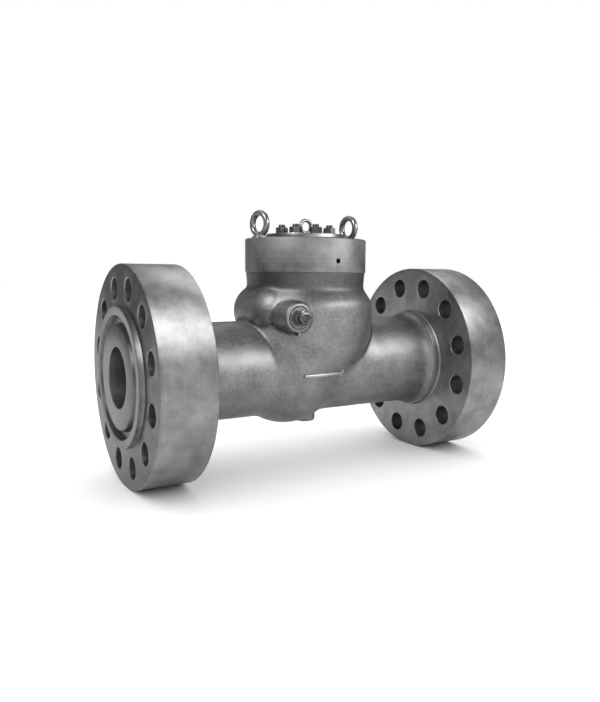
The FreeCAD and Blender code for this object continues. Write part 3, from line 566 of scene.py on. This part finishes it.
# %% Flow arrow, wrapped round the bowl
# Its height, and the angle round the bowl where it starts, in degrees.
ARROW_Z, ARROW_START = -10.0, -121.0
ARROW_LONG, ARROW_HEAD = 172.0, 30.0
ARROW_HALF, HEAD_HALF = 6.5, 16.0
ARROW_PROUD, ARROW_ROOT, ARROW_EDGE = 7.0, 9.0, 5.8
ARROW_PARTS = 20
MM_PER_DEGREE = 3.44
# Rays start this far out, clear of the casting, and look inwards for the skin.
RAY_START = 400.0

skin_tree = BVHTree.FromObject(casting, bpy.context.evaluated_depsgraph_get())


def skin_reach(angle, z_mm):
    """How far the skin lies from the bowl's axis, at an angle round it and a height."""
    outward = Vector((math.cos(angle), math.sin(angle), 0))
    axis_spot = Vector((HALF_RUN, 0, z_mm)) * MM
    hit = skin_tree.ray_cast(axis_spot + outward * (RAY_START * MM), -outward)[0]
    return (hit - axis_spot).length


arrow = bmesh.new()
shaft = ARROW_LONG - ARROW_HEAD
corners = [(0, -ARROW_HALF), (shaft, -ARROW_HALF), (shaft, -HEAD_HALF), (ARROW_LONG, 0.0),
           (shaft, HEAD_HALF), (shaft, ARROW_HALF), (0, ARROW_HALF)]
face = arrow.faces.new([arrow.verts.new((x, y, -ARROW_ROOT)) for x, y in corners])
raised = bmesh.ops.extrude_face_region(arrow, geom=[face])
top = [item for item in raised["geom"] if isinstance(item, bmesh.types.BMVert)]
bmesh.ops.translate(arrow, verts=top, vec=(0, 0, ARROW_ROOT + ARROW_PROUD))
rounded = [edge for edge in arrow.edges if all(end.co.z > 0 for end in edge.verts)]
bmesh.ops.bevel(arrow, geom=rounded, offset=ARROW_EDGE, affect="EDGES", segments=4, profile=0.5,
                material=-1)
for step in range(1, ARROW_PARTS):
    bmesh.ops.bisect_plane(arrow, geom=arrow.verts[:] + arrow.edges[:] + arrow.faces[:],
                           plane_co=(ARROW_LONG * step / ARROW_PARTS, 0, 0), plane_no=(1, 0, 0))
for point in arrow.verts:
    angle = math.radians(ARROW_START + point.co.x / MM_PER_DEGREE)
    height, proud = ARROW_Z + point.co.y, point.co.z
    reach = skin_reach(angle, height) + proud * MM
    point.co = (HALF_RUN * MM + reach * math.cos(angle), reach * math.sin(angle), height * MM)
bmesh.ops.recalc_face_normals(arrow, faces=arrow.faces)
combined(casting, made("flow_arrow", arrow, rubbed_cast_steel), "UNION")
print("the arrow is", ARROW_LONG, "mm long and stands", ARROW_PROUD, "mm proud")

# %% Vent lug
LUG_PLACE = (507.0, -200.0, 126.0)
LUG_OUTLINE = [(0, -30), (6, -30), (6, 2.5), (4.8, 3.8), (0, 4)]
lug = placed(turned(LUG_OUTLINE, 24), *LUG_PLACE, ALONG_PIN)
combined(casting, made("vent_lug", lug, shot_blasted_cast_steel), "UNION")
told(casting)

# %% [markdown]
# ## The casting, then as the machine shop leaves it
#
# The rim, the bores, the seat's bed and the faces for the plug are machined after casting,
# so their edges are crisp. Each cut is a closed shape with the CAD's own sizes and with the
# finish that its tool leaves. A boolean carries that finish into the body, so the cast skin
# stops exactly where the tool started.

# %% Sizes of the machined places
# In millimetres, as in the CAD. A height is over the flow's axis, an X from the bowl's middle.
RIM_R, RIM_LOW, RIM_TOP = 204.0, 316.4, 426.5
CHAMBER_R, CHAMBER_LOW, CHAMBER_ROUND = 150, -96, 136
CHAMBER_TOP, CONE_TOP = 195, 226
SEAL_R, GROOVE_R, GROOVE_LOW, GROOVE_HIGH = 122, 140, 340, 366
ROOM_SIZE, ROOM_X, ROOM_Z, ROOM_ROUND = (196, 124, 98), -98, 175, 20
BORE_R, BORE_REACH, END_R = 92.075, 445, 190
SEAT_X, SEAT_BED_R = -128, 116.1
POCKET_R, POCKET_END = 124, -20
PIN_HOLE_R, PORT_R, PORT_LOW = 19.1, 24, 138
GASKET_SEAT_R, GASKET_SEAT = 37, 213
DRIFT_R, DRIFT_Z = 8, 353
EYE_X, EYE_HOLE_R, EYE_HOLE_LOW = 174, 12.1, 390.5
OVER_RIM = RIM_TOP + 1.5

rim = [(0, RIM_LOW), (RIM_R - 1.4, RIM_LOW), (RIM_R, RIM_LOW + 1.4), (RIM_R, RIM_TOP - 4),
       (RIM_R - 1, RIM_TOP - 2.1), (RIM_R - 4, RIM_TOP), (0, RIM_TOP)]
chamber = [(0, CHAMBER_LOW)] + arc(CHAMBER_R - CHAMBER_ROUND, CHAMBER_LOW + CHAMBER_ROUND,
                                   CHAMBER_ROUND, -90, 0, 16) + [
    (CHAMBER_R, CHAMBER_TOP), (SEAL_R, CONE_TOP), (0, CONE_TOP)]
bonnet_bore = [(0, CONE_TOP - 1), (SEAL_R, CONE_TOP - 1), (SEAL_R, GROOVE_LOW),
               (GROOVE_R, GROOVE_LOW), (GROOVE_R, GROOVE_HIGH), (SEAL_R, GROOVE_HIGH),
               (SEAL_R, RIM_TOP - 1.5), (SEAL_R + 2, OVER_RIM), (0, OVER_RIM)]
plug_port = [(0, PORT_LOW), (PORT_R, PORT_LOW), (PORT_R, GASKET_SEAT),
             (GASKET_SEAT_R, GASKET_SEAT), (GASKET_SEAT_R, BOSS_FACE + 3), (0, BOSS_FACE + 3)]
print("the rim is", round(RIM_TOP - RIM_LOW, 1), "mm high and", 2 * RIM_R, "mm across")

# %% Rim and machined cuts
def hinge_room():
    """The box-shaped room for the hinge, rounded along its two edges at the inlet side."""
    room = bmesh.new()
    bmesh.ops.create_cube(room, size=1.0)
    bmesh.ops.scale(room, vec=Vector(ROOM_SIZE) * MM, verts=room.verts)
    across = [edge for edge in room.edges if all(end.co.x < 0 for end in edge.verts)
              and edge.verts[0].co.y * edge.verts[1].co.y < 0]
    bmesh.ops.bevel(room, geom=across, offset=ROOM_ROUND * MM, affect="EDGES", segments=6,
                    profile=0.5, material=-1)
    return placed(room, HALF_RUN + ROOM_X, 0, ROOM_Z)


def eye_hole(x_mm):
    """The tapped hole for an eye bolt in the rim."""
    return placed(turned(rod(EYE_HOLE_R, EYE_HOLE_LOW, OVER_RIM), 32), HALF_RUN + x_mm)


combined(casting, made("turned_rim", on_bonnet(rim, 160), turned_rim_steel), "UNION")
cuts = [
    ("cavity", on_bonnet(chamber), shot_blasted_cast_steel),
    ("hinge_room", hinge_room(), shot_blasted_cast_steel),
    ("bonnet_bore", on_bonnet(bonnet_bore), turned_rim_steel),
    ("flow_bore", on_flow(rod(BORE_R, -BORE_REACH, BORE_REACH)), bright_bore_steel),
    ("seat_bed", on_flow(rod(SEAT_BED_R, SEAT_X - 30, SEAT_X)), bright_bore_steel),
    ("disc_pocket", on_flow(rod(POCKET_R, SEAT_X - 4, POCKET_END)), bright_bore_steel),
    ("pin_hole", on_pin(rod(PIN_HOLE_R, -PORT_LOW, PORT_LOW + 2), 40), turned_plug_steel),
    ("plug_port", on_pin(plug_port, 64), turned_plug_steel),
    ("drift_hole", placed(turned(rod(DRIFT_R, -RIM_R - 2, RIM_R + 2), 32), HALF_RUN, 0, DRIFT_Z,
                          ALONG_PIN), turned_rim_steel),
    ("inlet_eye_hole", eye_hole(-EYE_X), turned_rim_steel),
    ("outlet_eye_hole", eye_hole(EYE_X), turned_rim_steel),
    ("outlet_end", on_flow(rod(END_R, JOINT_REACH, JOINT_REACH + 20)), bright_bore_steel),
    ("inlet_end", on_flow(rod(END_R, -JOINT_REACH - 20, -JOINT_REACH)), bright_bore_steel),
]
for name, shape, finish in cuts:
    combined(casting, made(name, shape, finish), "DIFFERENCE")
told(casting)
print("finishes on the casting:", [m.name for m in casting.data.materials])

# %% Give the cast skin its slow waviness and its painted crease shade, then set the edges
WAVE, WAVE_DEPTH = 70.0, 0.5
# The painted shade is full where a crease was filled this deep. A point further from the
# foundry's skin than the reach was machined, and gets no painted shade.
FULL_PAINTED_SHADE, MAP_REACH = 1.5, 9.0


def wavy(obj, finish, wave_mm, depth_mm):
    """Shifts the points that only the cast skin uses a little along their normals."""
    skin = bmesh.new()
    skin.from_mesh(obj.data)
    skin.normal_update()
    cast = {number for number, slot in enumerate(obj.data.materials) if slot == finish}
    for point in skin.verts:
        if all(side.material_index in cast for side in point.link_faces):
            shift = noise.noise(point.co / (wave_mm * MM)) * depth_mm * MM
            point.co += point.normal * shift
    skin.to_mesh(obj.data)
    skin.free()


def paint_crease_shade(obj):
    """Gives each point near a filled crease a value from 0 to 1 for the painted shade in it.
    The wide fillets low on the body get none."""
    values = []
    for point in obj.data.vertices:
        _, number, gap = crease_map.find(point.co)
        full = min(crease_depths[number] / (FULL_PAINTED_SHADE * MM), 1.0)
        values.append(full * (1.0 - lowness(point.co)) if gap < MAP_REACH * MM else 0.0)
    shade_amount = obj.data.attributes.new("crease", "FLOAT", "POINT")
    shade_amount.data.foreach_set("value", values)
    return values


wavy(casting, shot_blasted_cast_steel, WAVE, WAVE_DEPTH)
# Painted shade: each point in a crease gets a value that darkens the cast skin there.
values = paint_crease_shade(casting)
print("points in creases:", sum(value > 0.3 for value in values), "of", len(values))
dressed(casting, "body_casting", degrees=34)

# %% [markdown]
# ## The flanges
#
# Each end is a forged ring-joint flange: a thick ring with a raised face, a deep groove for
# a metal ring gasket, twelve bolt holes and a short hub that is welded to the body. A lathe
# makes it, so one outline gives it all, with a small radius on each outer edge because bare
# sharp corners never catch light on a real forging. The holes are cut by twelve copies of
# one chamfered drill shape. The side that meets the next flange is faced with a fine spiral,
# and those faces get a darker copy of the flange's finish, which is painted shade.

# %% Both flanges
FLANGE_R, FACE_X, BACK_X, EDGE_R = 336.55, 17.48, 182.58, 3
RAISED_R, BOLT_CIRCLE, BOLT_HOLE_R, BOLTS = 212.725, 269.875, 33.35, 12
PITCH_R, GROOVE_HALF, GROOVE_DEPTH = 171.45, 15.09, 17.48
HUB_R, HUB_END, HUB_FILLET = 175.3, 206.58, 6
# The faced sides, which get painted shade, lie above this depth, outside the bore, and lean
# outwards at least so much.
FACED_DEPTH, FACED_FROM, FACED_LEAN = 17.7, 100, 0.3

slant = GROOVE_DEPTH * math.tan(math.radians(23))
groove_in, groove_out = PITCH_R - GROOVE_HALF, PITCH_R + GROOVE_HALF
flange_outline = [
    (BORE_R, 2), (93.5, 0), (groove_in - 1, 0), (groove_in, 0.5),
    (groove_in + slant, GROOVE_DEPTH), (groove_out - slant, GROOVE_DEPTH),
    (groove_out, 0.5), (groove_out + 1, 0), (211.5, 0), (RAISED_R, 1.2),
    (RAISED_R, FACE_X - 2), (213.3, FACE_X - 0.6), (214.7, FACE_X),
]
flange_outline += arc(FLANGE_R - EDGE_R, FACE_X + EDGE_R, EDGE_R, -90, 0, 3)
flange_outline += arc(FLANGE_R - EDGE_R, BACK_X - EDGE_R, EDGE_R, 0, 90, 3) + [(182, BACK_X)]
flange_outline += arc(HUB_R + HUB_FILLET, BACK_X + HUB_FILLET, HUB_FILLET, -90, -180, 4)
flange_outline += [(HUB_R, 205), (HUB_R - 1.5, HUB_END), (BORE_R, HUB_END)]
drill = [(0, FACE_X - 2), (BOLT_HOLE_R + 4, FACE_X - 2), (BOLT_HOLE_R, FACE_X + 2),
         (BOLT_HOLE_R, BACK_X - 2), (BOLT_HOLE_R + 4, BACK_X + 2), (0, BACK_X + 2)]
# A darker copy of the flange finish: painted shade for the faced sides.
shaded_faced_flange_steel = turned_finish("shaded_faced_flange_steel", "#5a5a5a", "#7f7f7e", (0.30, 0.42), "X")


def flange(name):
    """One flange, with its raised face at the origin and the valve along +Z."""
    body = made(name, turned(flange_outline, 192), forged_flange_steel)
    holes = around_axis(placed(turned(drill, 40), BOLT_CIRCLE), BOLTS, start=180 / BOLTS)
    combined(body, made("drilled_holes", holes, forged_flange_steel), "DIFFERENCE")
    body.data.materials.append(shaded_faced_flange_steel)
    # Painted shade: the faces that meet the next flange get the darker copy of the finish.
    for side in body.data.polygons:
        reach = math.hypot(side.center.x, side.center.y) / MM
        faces_out = side.center.z < FACED_DEPTH * MM and side.normal.z < -FACED_LEAN
        if faces_out and reach > FACED_FROM:
            side.material_index = 1
    return body


for name, node, turn, x in (
    ("forged_inlet_flange", "inlet_flange", ALONG_FLOW, 0.0),
    ("forged_outlet_flange", "outlet_flange", Matrix.Rotation(math.radians(-90), 4, "Y"),
     2 * HALF_RUN),
):
    piece = flange(name)
    piece.data.transform(Matrix.Translation((x * MM, 0, 0)) @ turn)
    dressed(piece, node)

# %% [markdown]
# ## Cover plate, studs and nuts
#
# The plate lies on the rim and the studs pull the bonnet up against it, so that line
# pressure seals the joint. Heavy hexagon nuts have a 30 degree chamfer at both ends: a
# hexagon kept only where it is inside a turned shape has just those curved edges. Real
# studs have a 2.5 mm thread; each ridge is modelled, since the bare ends show above the nuts.

# %% More finishes for the cover
oiled_stud_steel = turned_finish("oiled_stud_steel", "#4b4b4a", "#747473", (0.30, 0.44), "Z",
                                 BONNET, line_mm=1.2, cut=0.05)
oiled_nut_steel = turned_finish("oiled_nut_steel", "#555554", "#7e7e7c", (0.28, 0.44), "Z",
                                BONNET, line_mm=1.4, cut=0.05)
turned_plate_steel = turned_finish("turned_plate_steel", "#757574", "#a2a2a1", (0.30, 0.42), "Z",
                                   BONNET)
print("finishes so far:", len(bpy.data.materials))

# %% Cover plate
PLATE_R, PLATE_TOP = 133.5, 443.0
PLATE_EYE_R, PLATE_HOLE_R = 6.1, 11.9
STUD_CIRCLE, STUD_COUNT, STUD_TURN = 86.0, 8, -8.0


def on_studs(shape):
    """Copies a shape to the place of each stud."""
    return placed(around_axis(shape, STUD_COUNT, STUD_TURN), HALF_RUN)


plate = made("turned_cover_plate", on_bonnet([
    (PLATE_EYE_R, RIM_TOP + 1), (7, RIM_TOP), (PLATE_R - 0.5, RIM_TOP), (PLATE_R, RIM_TOP + 0.5),
    (PLATE_R, PLATE_TOP - 2.5), (PLATE_R - 0.8, PLATE_TOP - 0.8), (PLATE_R - 2.5, PLATE_TOP),
    (7.4, PLATE_TOP), (PLATE_EYE_R, PLATE_TOP - 1),
]), turned_plate_steel)
plate_drill = [(0, 424), (PLATE_HOLE_R, 424), (PLATE_HOLE_R, PLATE_TOP - 1),
               (PLATE_HOLE_R + 3, PLATE_TOP + 2), (0, PLATE_TOP + 2)]
holes = on_studs(placed(turned(plate_drill, 32), STUD_CIRCLE))
combined(plate, made("plate_holes", holes, turned_plate_steel), "DIFFERENCE")
dressed(plate, "cover_retainer_plate")

# %% Studs with their threads
STUD_LOW, STUD_HIGH = 359.0, 473.8
STUD_R, THREAD_DEPTH, THREAD_PITCH = 11.1, 0.9, 2.5
# The flat top of a ridge, as two parts of the pitch.
CREST_START, CREST_END = 0.35, 0.55


def threaded(radius, depth, pitch, low, high):
    """The outline of a rod with a ridge for each turn of its thread, chamfered at the ends."""
    outline = [(0, low), (radius - depth - 0.4, low)]
    height = low + pitch
    while height < high - pitch:
        outline += [(radius - depth, height), (radius, height + pitch * CREST_START),
                    (radius, height + pitch * CREST_END)]
        height += pitch
    return outline + [(radius - depth, height), (radius - depth - 0.4, high), (0, high)]


thread = threaded(STUD_R, THREAD_DEPTH, THREAD_PITCH, STUD_LOW, STUD_HIGH)
studs = on_studs(placed(turned(thread, 20), STUD_CIRCLE))
dressed(made("threaded_studs", studs, oiled_stud_steel), "bonnet_studs",
        degrees=50)

# %% Hexagon nuts and heads
NUT_FLATS, NUT_HEIGHT, NUT_HOLE_R = 36.5, 21.8, 11.2
# The radius where a hexagon's chamfer starts, as a part of its width over the flats.
CHAMFER_START = 0.475


def hexagon(name, flats, height, finish, hole=0.0, both_ends=True):
    """A chamfered hexagon on the XY plane, its flats square to X."""
    corner = flats / math.sqrt(3)
    top = flats * CHAMFER_START
    slant = (corner - top) * math.tan(math.radians(30))
    block = bmesh.new()
    bmesh.ops.create_cone(block, cap_ends=True, segments=6, radius1=corner * MM,
                          radius2=corner * MM, depth=height * MM)
    placed(block, 0, 0, height / 2, Matrix.Rotation(math.radians(30), 4, "Z"))
    low = [(0, 0), (top, 0), (corner, slant)] if both_ends else [(0, -1), (corner + 2, -1)]
    shell = turned(low + [(corner + 0.01, height - slant), (top, height), (0, height)], 48)
    head = combined(made(name, block, finish), made("chamfer", shell, finish), "INTERSECT")
    if hole:
        bore = turned([(0, -2), (hole + 3, -2), (hole, 1), (hole, height - 1),
                       (hole + 3, height + 2), (0, height + 2)], 32)
        combined(head, made("thread_hole", bore, finish), "DIFFERENCE")
    return head


nut = hexagon("one_nut", NUT_FLATS, NUT_HEIGHT, oiled_nut_steel, hole=NUT_HOLE_R)
nut_shape = bmesh.new()
nut_shape.from_mesh(nut.data)
bpy.data.objects.remove(nut)
print("flats of a nut face the middle of the plate; corners are",
      round(NUT_FLATS / math.sqrt(3), 2), "mm out")
nuts = on_studs(placed(nut_shape, STUD_CIRCLE, 0, PLATE_TOP))
dressed(made("heavy_hex_nuts", nuts, oiled_nut_steel), "bonnet_nuts")

# %% [markdown]
# ## Eye bolts
#
# Three forged eyes lift the parts of the valve: two large ones in the rim and a small one in
# the plate. Forging presses hot steel into a die, so the ring runs into its collar in one
# soft neck. The ring, the flared collar and the shank are separate turned shapes that a fine
# voxel remesh melts into one, with its creases filled as on the casting.

# %% Forged and plated eyes
EYE_ROUNDS = 10
WIRE_STEPS, RING_STEPS = 20, 64
# Each collar is (radius, edge height, root radius, top height).
LARGE_EYE = {"mean_r": 35, "wire_r": 10, "height": 45, "collar": (25, 5, 11, 13),
             "thread_r": 12, "shank": 36, "voxel_mm": 1.5}
SMALL_EYE = {"mean_r": 21, "wire_r": 6, "height": 27.5, "collar": (15, 3, 6.6, 8),
             "thread_r": 6, "shank": 19, "voxel_mm": 1.1}
plated_forging = cast_skin("plated_forging", "#7a7b7b", "#a4a5a4", (0.26, 0.40), 0.15)


def torus(mean_r, wire_r, height):
    """A ring that stands on edge, square to the X axis."""
    wire = [math.tau * k / WIRE_STEPS for k in range(WIRE_STEPS)]
    ring = turned([(mean_r + wire_r * math.cos(a), wire_r * math.sin(a)) for a in wire],
                  RING_STEPS)
    return placed(ring, 0, 0, height, ALONG_FLOW)


def eye_bolt(name, mean_r, wire_r, height, collar, thread_r, shank, voxel_mm):
    """An eye bolt that stands on the XY plane, with its shank below."""
    radius, edge, root, top = collar
    flare = arc(radius, top + 2, radius - root, -90, -180)
    stem = [(0, -shank), (thread_r - 1, -shank), (thread_r, 1 - shank), (thread_r, 0),
            (radius - 1, 0), (radius, 1), (radius, edge - 0.6), (radius - 0.6, edge)]
    stem += [(r, edge + (h - flare[0][1]) * (top - edge) / (radius - root)) for r, h in flare[1:]]
    stem.append((0, stem[-1][1]))
    shapes = [torus(mean_r, wire_r, height), turned(stem, RING_STEPS)]
    eye = made(name, together(shapes), plated_forging)
    melted(eye, voxel_mm)
    filled_creases(eye, EYE_ROUNDS)
    return eye


for name, node, x, turn, sizes, base in (
    ("inlet_eye", "body_lifting_eyes", -EYE_X, 13, LARGE_EYE, RIM_TOP),
    ("outlet_eye", "body_lifting_eyes", EYE_X, 7, LARGE_EYE, RIM_TOP),
    ("cover_eye", "cover_eye_bolt", 0, 95, SMALL_EYE, PLATE_TOP),
):
    eye = eye_bolt(name, **sizes)
    eye.data.transform(Matrix.Translation(Vector((HALF_RUN + x, 0, base)) * MM)
                       @ Matrix.Rotation(math.radians(turn), 4, "Z"))
    dressed(eye, node, degrees=40)

# %% [markdown]
# ## The hinge pin's plug
#
# A screwed plug closes the hole that the hinge pin went in by. It has a round collar on a
# soft iron gasket, a large hexagon for the spanner and a smaller screw in the middle. The
# two hexagons are handled with oily spanners, so they are darker than the turned collar.

# %% Plug, its gasket and its middle screw
SOFT_IRON = ("#5c5c5e", "#7d7d80", (0.45, 0.60))
soft_iron = turned_finish("soft_iron", *SOFT_IRON, "Y", PIN, cut=0.05)
oiled_plug_steel = turned_finish("oiled_plug_steel", "#515150", "#7f7f7d", (0.22, 0.36), "Y", PIN)
PLUG_FACE = 216.0
PLUG_R, PLUG_END = 23.9, PLUG_FACE - 44
COLLAR_R, COLLAR_TOP = 35, PLUG_FACE + 9
HEAD_FLATS, HEAD_LOW, HEAD_HEIGHT = 46, PLUG_FACE + 7, 20
HEAD_TOP = HEAD_LOW + HEAD_HEIGHT
SCREW_FLATS, SCREW_HEIGHT, SCREW_R = 36, 15, 10
SCREW_TOP = HEAD_TOP + SCREW_HEIGHT

plug = made("pin_plug_collar", turned([
    (0, PLUG_END), (PLUG_R - 1.5, PLUG_END), (PLUG_R, PLUG_END + 1.5), (PLUG_R, PLUG_FACE),
    (COLLAR_R - 0.8, PLUG_FACE), (COLLAR_R, PLUG_FACE + 0.8), (COLLAR_R, COLLAR_TOP - 1.5),
    (COLLAR_R - 1.5, COLLAR_TOP), (0, COLLAR_TOP),
], 72), turned_plug_steel)
head = hexagon("plug_head", HEAD_FLATS, HEAD_HEIGHT, oiled_plug_steel, both_ends=False)
head.data.transform(Matrix.Translation((0, 0, HEAD_LOW * MM)))
combined(plug, head, "UNION")
screw_hole = turned([(0, PLUG_FACE), (SCREW_R + 0.1, PLUG_FACE), (SCREW_R + 0.1, HEAD_TOP - 1),
                     (SCREW_R + 2.1, HEAD_TOP + 1), (0, HEAD_TOP + 1)], 32)
combined(plug, made("screw_hole", screw_hole, turned_plug_steel), "DIFFERENCE")

screw = hexagon("middle_screw", SCREW_FLATS, SCREW_HEIGHT, oiled_plug_steel, both_ends=False)
screw.data.transform(Matrix.Translation((0, 0, HEAD_TOP * MM)))
shank = turned([(0, PLUG_FACE + 1), (SCREW_R - 1, PLUG_FACE + 1), (SCREW_R, PLUG_FACE + 2),
                (SCREW_R, HEAD_TOP + 2), (0, HEAD_TOP + 2)], 32)
combined(screw, made("screw_shank", shank, turned_plug_steel), "UNION")
dimple = turned([(0, SCREW_TOP - 3.5), (8.5, SCREW_TOP - 3.5), (9.5, SCREW_TOP - 2.5),
                 (9.5, SCREW_TOP - 1), (10.5, SCREW_TOP + 0.2), (0, SCREW_TOP + 0.2)], 32)
combined(screw, made("centre_dimple", dimple, oiled_stud_steel), "DIFFERENCE")
gasket = made("soft_iron_gasket", turned([
    (24.1, GASKET_SEAT), (COLLAR_R, GASKET_SEAT), (COLLAR_R, PLUG_FACE), (24.1, PLUG_FACE),
], 72), soft_iron)
for piece, node, slot in (
    (plug, "pin_plug", "turned_steel"), (screw, "plug_centre_screw", "turned_steel"),
    (gasket, "plug_gasket", "soft_ring"),
):
    piece.data.transform(Matrix.Translation(Vector(PIN) * MM) @ ALONG_PIN)
    dressed(piece, node)

# %% [markdown]
# ## The pieces inside
#
# The CAD's own pieces have the right shapes, so they keep their meshes and get finishes. A
# bore shows the seat ring and the disc behind it. Opening the bonnet shows the arm, bushes
# of bronze, washer and nut.

# %% Finishes of the hidden pieces
BRONZE = ("#a87b3e", "#c79a58", (0.26, 0.38))
turned_bonnet_steel = turned_finish("turned_bonnet_steel", "#757471", "#a5a4a0", (0.28, 0.40),
                                    "Z", BONNET)
turned_pin_steel = turned_finish("turned_pin_steel", "#8f8f8e", "#bababa", (0.18, 0.30), "Y", PIN,
                                 line_mm=0.8, cut=0.04)
turned_nut_steel = turned_finish("turned_nut_steel", "#777673", "#a3a29e", (0.30, 0.42), "X")
pin_bronze = turned_finish("pin_bronze", *BRONZE, "Y", PIN)
stem_bronze = turned_finish("stem_bronze", *BRONZE, "X")
soft_seal_iron = turned_finish("soft_seal_iron", *SOFT_IRON, "Z", BONNET, cut=0.05)
inside = {
    "seat_ring": ground_trim_steel, "disc": ground_trim_steel, "disc_washer": turned_nut_steel,
    "disc_nut": turned_nut_steel, "disc_split_pin": turned_nut_steel,
    "hinge_arm": blasted_arm_steel, "arm_eye_bush": stem_bronze, "arm_bushes": pin_bronze,
    "hinge_pin": turned_pin_steel, "pin_spacers": turned_pin_steel,
    "bonnet": turned_bonnet_steel, "spacer_ring": turned_bonnet_steel,
    "thrust_ring_segments": turned_bonnet_steel, "pressure_seal_gasket": soft_seal_iron,
}
for node, finish in inside.items():
    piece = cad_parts[node]
    piece.data.materials.clear()
    piece.data.materials.append(finish)
print("finished CAD pieces:", len(inside))

# %% [markdown]
# ## Floor, light and camera
#
# The valve stands on its flanges on a pale floor that runs out of sight. Bare metal shows
# what it reflects, so the lights are wide panels. The flanges have two of their own: a long
# one high in front, which draws the bright stripe along their tops, and a weak one behind.
# The body has a key panel at the right for the bowl's shoulder, a weak one low in front, a
# small one at the left for the hood and one over the far side for the top of the run. Light
# linking keeps the two sets apart. A lamp of its own keeps the floor pale, and the metal
# sees that floor dimmer than it is, or it would lose the dark sides that give it its form.
# The camera was matched to the flange circles in the photograph.

# %% Floor
# Half its side in metres, and its distance under the flanges in millimetres.
FLOOR_HALF, FLOOR_GAP = 12.0, 0.2
scene = bpy.context.scene


def either(tree, test, first, second):
    """A shader that is the first one, or the second one for the rays that pass the test."""
    mix = add_node(tree, "ShaderNodeMixShader", {
        0: test, 1: first.outputs[0], 2: second.outputs[0]})
    return mix.outputs[0]


floor_shape = bmesh.new()
bmesh.ops.create_grid(floor_shape, x_segments=1, y_segments=1, size=FLOOR_HALF)
floor_paint = bpy.data.materials.new("pale_floor_paint")
floor_paint.use_nodes = True
ground = floor_paint.node_tree
paint = ground.nodes["Principled BSDF"]
paint.inputs["Base Color"].default_value = linear("#f2f2f2")
paint.inputs["Roughness"].default_value = 0.8
dim = add_node(ground, "ShaderNodeBsdfDiffuse", {"Color": linear("#d6d6d6")})
mirrored = add_node(ground, "ShaderNodeLightPath").outputs["Is Glossy Ray"]
ground.links.new(either(ground, mirrored, paint, dim),
                 ground.nodes["Material Output"].inputs["Surface"])
floor = made("floor", placed(floor_shape, HALF_RUN, 0, -FLANGE_R - FLOOR_GAP), floor_paint)
floor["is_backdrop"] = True
print("the floor is", round(FLANGE_R + FLOOR_GAP, 2), "mm under the flow's axis")

# %% Lights
MIDDLE = (HALF_RUN * MM, 0.0, 0.05)


def softbox(name, place, size, power, target=MIDDLE):
    """A rectangular area light that faces a point. Places and sizes are in metres, and the
    power is in watts."""
    lamp = bpy.data.lights.new(name, "AREA")
    lamp.shape = "RECTANGLE"
    lamp.size, lamp.size_y = size
    lamp.energy = power
    obj = bpy.data.objects.new(name, lamp)
    obj.location = place
    facing = Vector(target) - Vector(place)
    obj.rotation_euler = facing.to_track_quat("-Z", "Y").to_euler()
    scene.collection.objects.link(obj)
    return obj


def lit_by(lamps, pieces, name):
    """Lets lamps light only these pieces."""
    group = bpy.data.collections.new(name)
    for piece in pieces:
        group.objects.link(piece)
    for lamp in lamps:
        lamp.light_linking.receiver_collection = group


flange_pieces = [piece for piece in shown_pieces() if "flange" in piece.name]
others = [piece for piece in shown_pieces() if piece not in flange_pieces]
lit_by([softbox("long_overhead_panel", (0.8, -2.1, 2.45), (5.0, 1.6), 122),
        softbox("rear_overhead_panel", (1.9, 1.3, 2.9), (2.6, 1.6), 28)],
       flange_pieces, "lit_flanges")
lit_by([softbox("key_panel", (2.2, -2.3, 1.5), (2.2, 1.2), 56),
        softbox("front_panel", (0.2, -4.1, 1.3), (4.0, 1.2), 28),
        softbox("left_panel", (-1.1, -0.6, 2.05), (0.7, 0.5), 34),
        softbox("rear_ceiling_panel", (0.65, 1.6, 3.0), (5.0, 2.0), 30)],
       others, "lit_body")
floor_lamp = softbox("floor_lamp", (0.65, 0.0, 6.0), (40.0, 40.0), 7500, target=(0.65, 0.0, 0.0))
lit_by([floor_lamp], [floor], "lit_floor")

# %% Room: a weak grey light for the metal, white for the camera
world = bpy.data.worlds.new("pale_room")
scene.world = world
world.use_nodes = True
sky = world.node_tree
room_light = sky.nodes["Background"]
room_light.inputs["Color"].default_value = linear("#e6e7e8")
room_light.inputs["Strength"].default_value = 0.32
seen = add_node(sky, "ShaderNodeBackground", {"Color": linear("#ffffff"), "Strength": 1.0})
to_camera = add_node(sky, "ShaderNodeLightPath").outputs["Is Camera Ray"]
sky.links.new(either(sky, to_camera, room_light, seen),
              sky.nodes["World Output"].inputs["Surface"])
scene.view_settings.view_transform = "Standard"
print("room light strength:", round(room_light.inputs["Strength"].default_value, 2))

# %% Camera
CAMERA_SPOT = (-0.56215, -2.0439, 0.30607)
CAMERA_RIGHT = (0.841859, -0.539608, 0.009831)
CAMERA_UP = (0.055779, 0.105112, 0.992895)
CAMERA_BACK = (-0.536807, -0.835329, 0.118588)
camera = bpy.data.objects.new("camera", bpy.data.cameras.new("camera"))
camera.data.sensor_width = 36.0
camera.data.lens = 35.412
camera.data.shift_x = -0.0435
camera.data.shift_y = 0.0105
camera.data.clip_start = 0.05
camera.data.clip_end = 200.0
rows = zip(CAMERA_RIGHT, CAMERA_UP, CAMERA_BACK, CAMERA_SPOT)
camera.matrix_world = Matrix((*rows, (0.0, 0.0, 0.0, 1.0)))
scene.collection.objects.link(camera)
scene.camera = camera
print("the camera stands", round(Vector(CAMERA_SPOT).length, 2), "m from the inlet's middle")
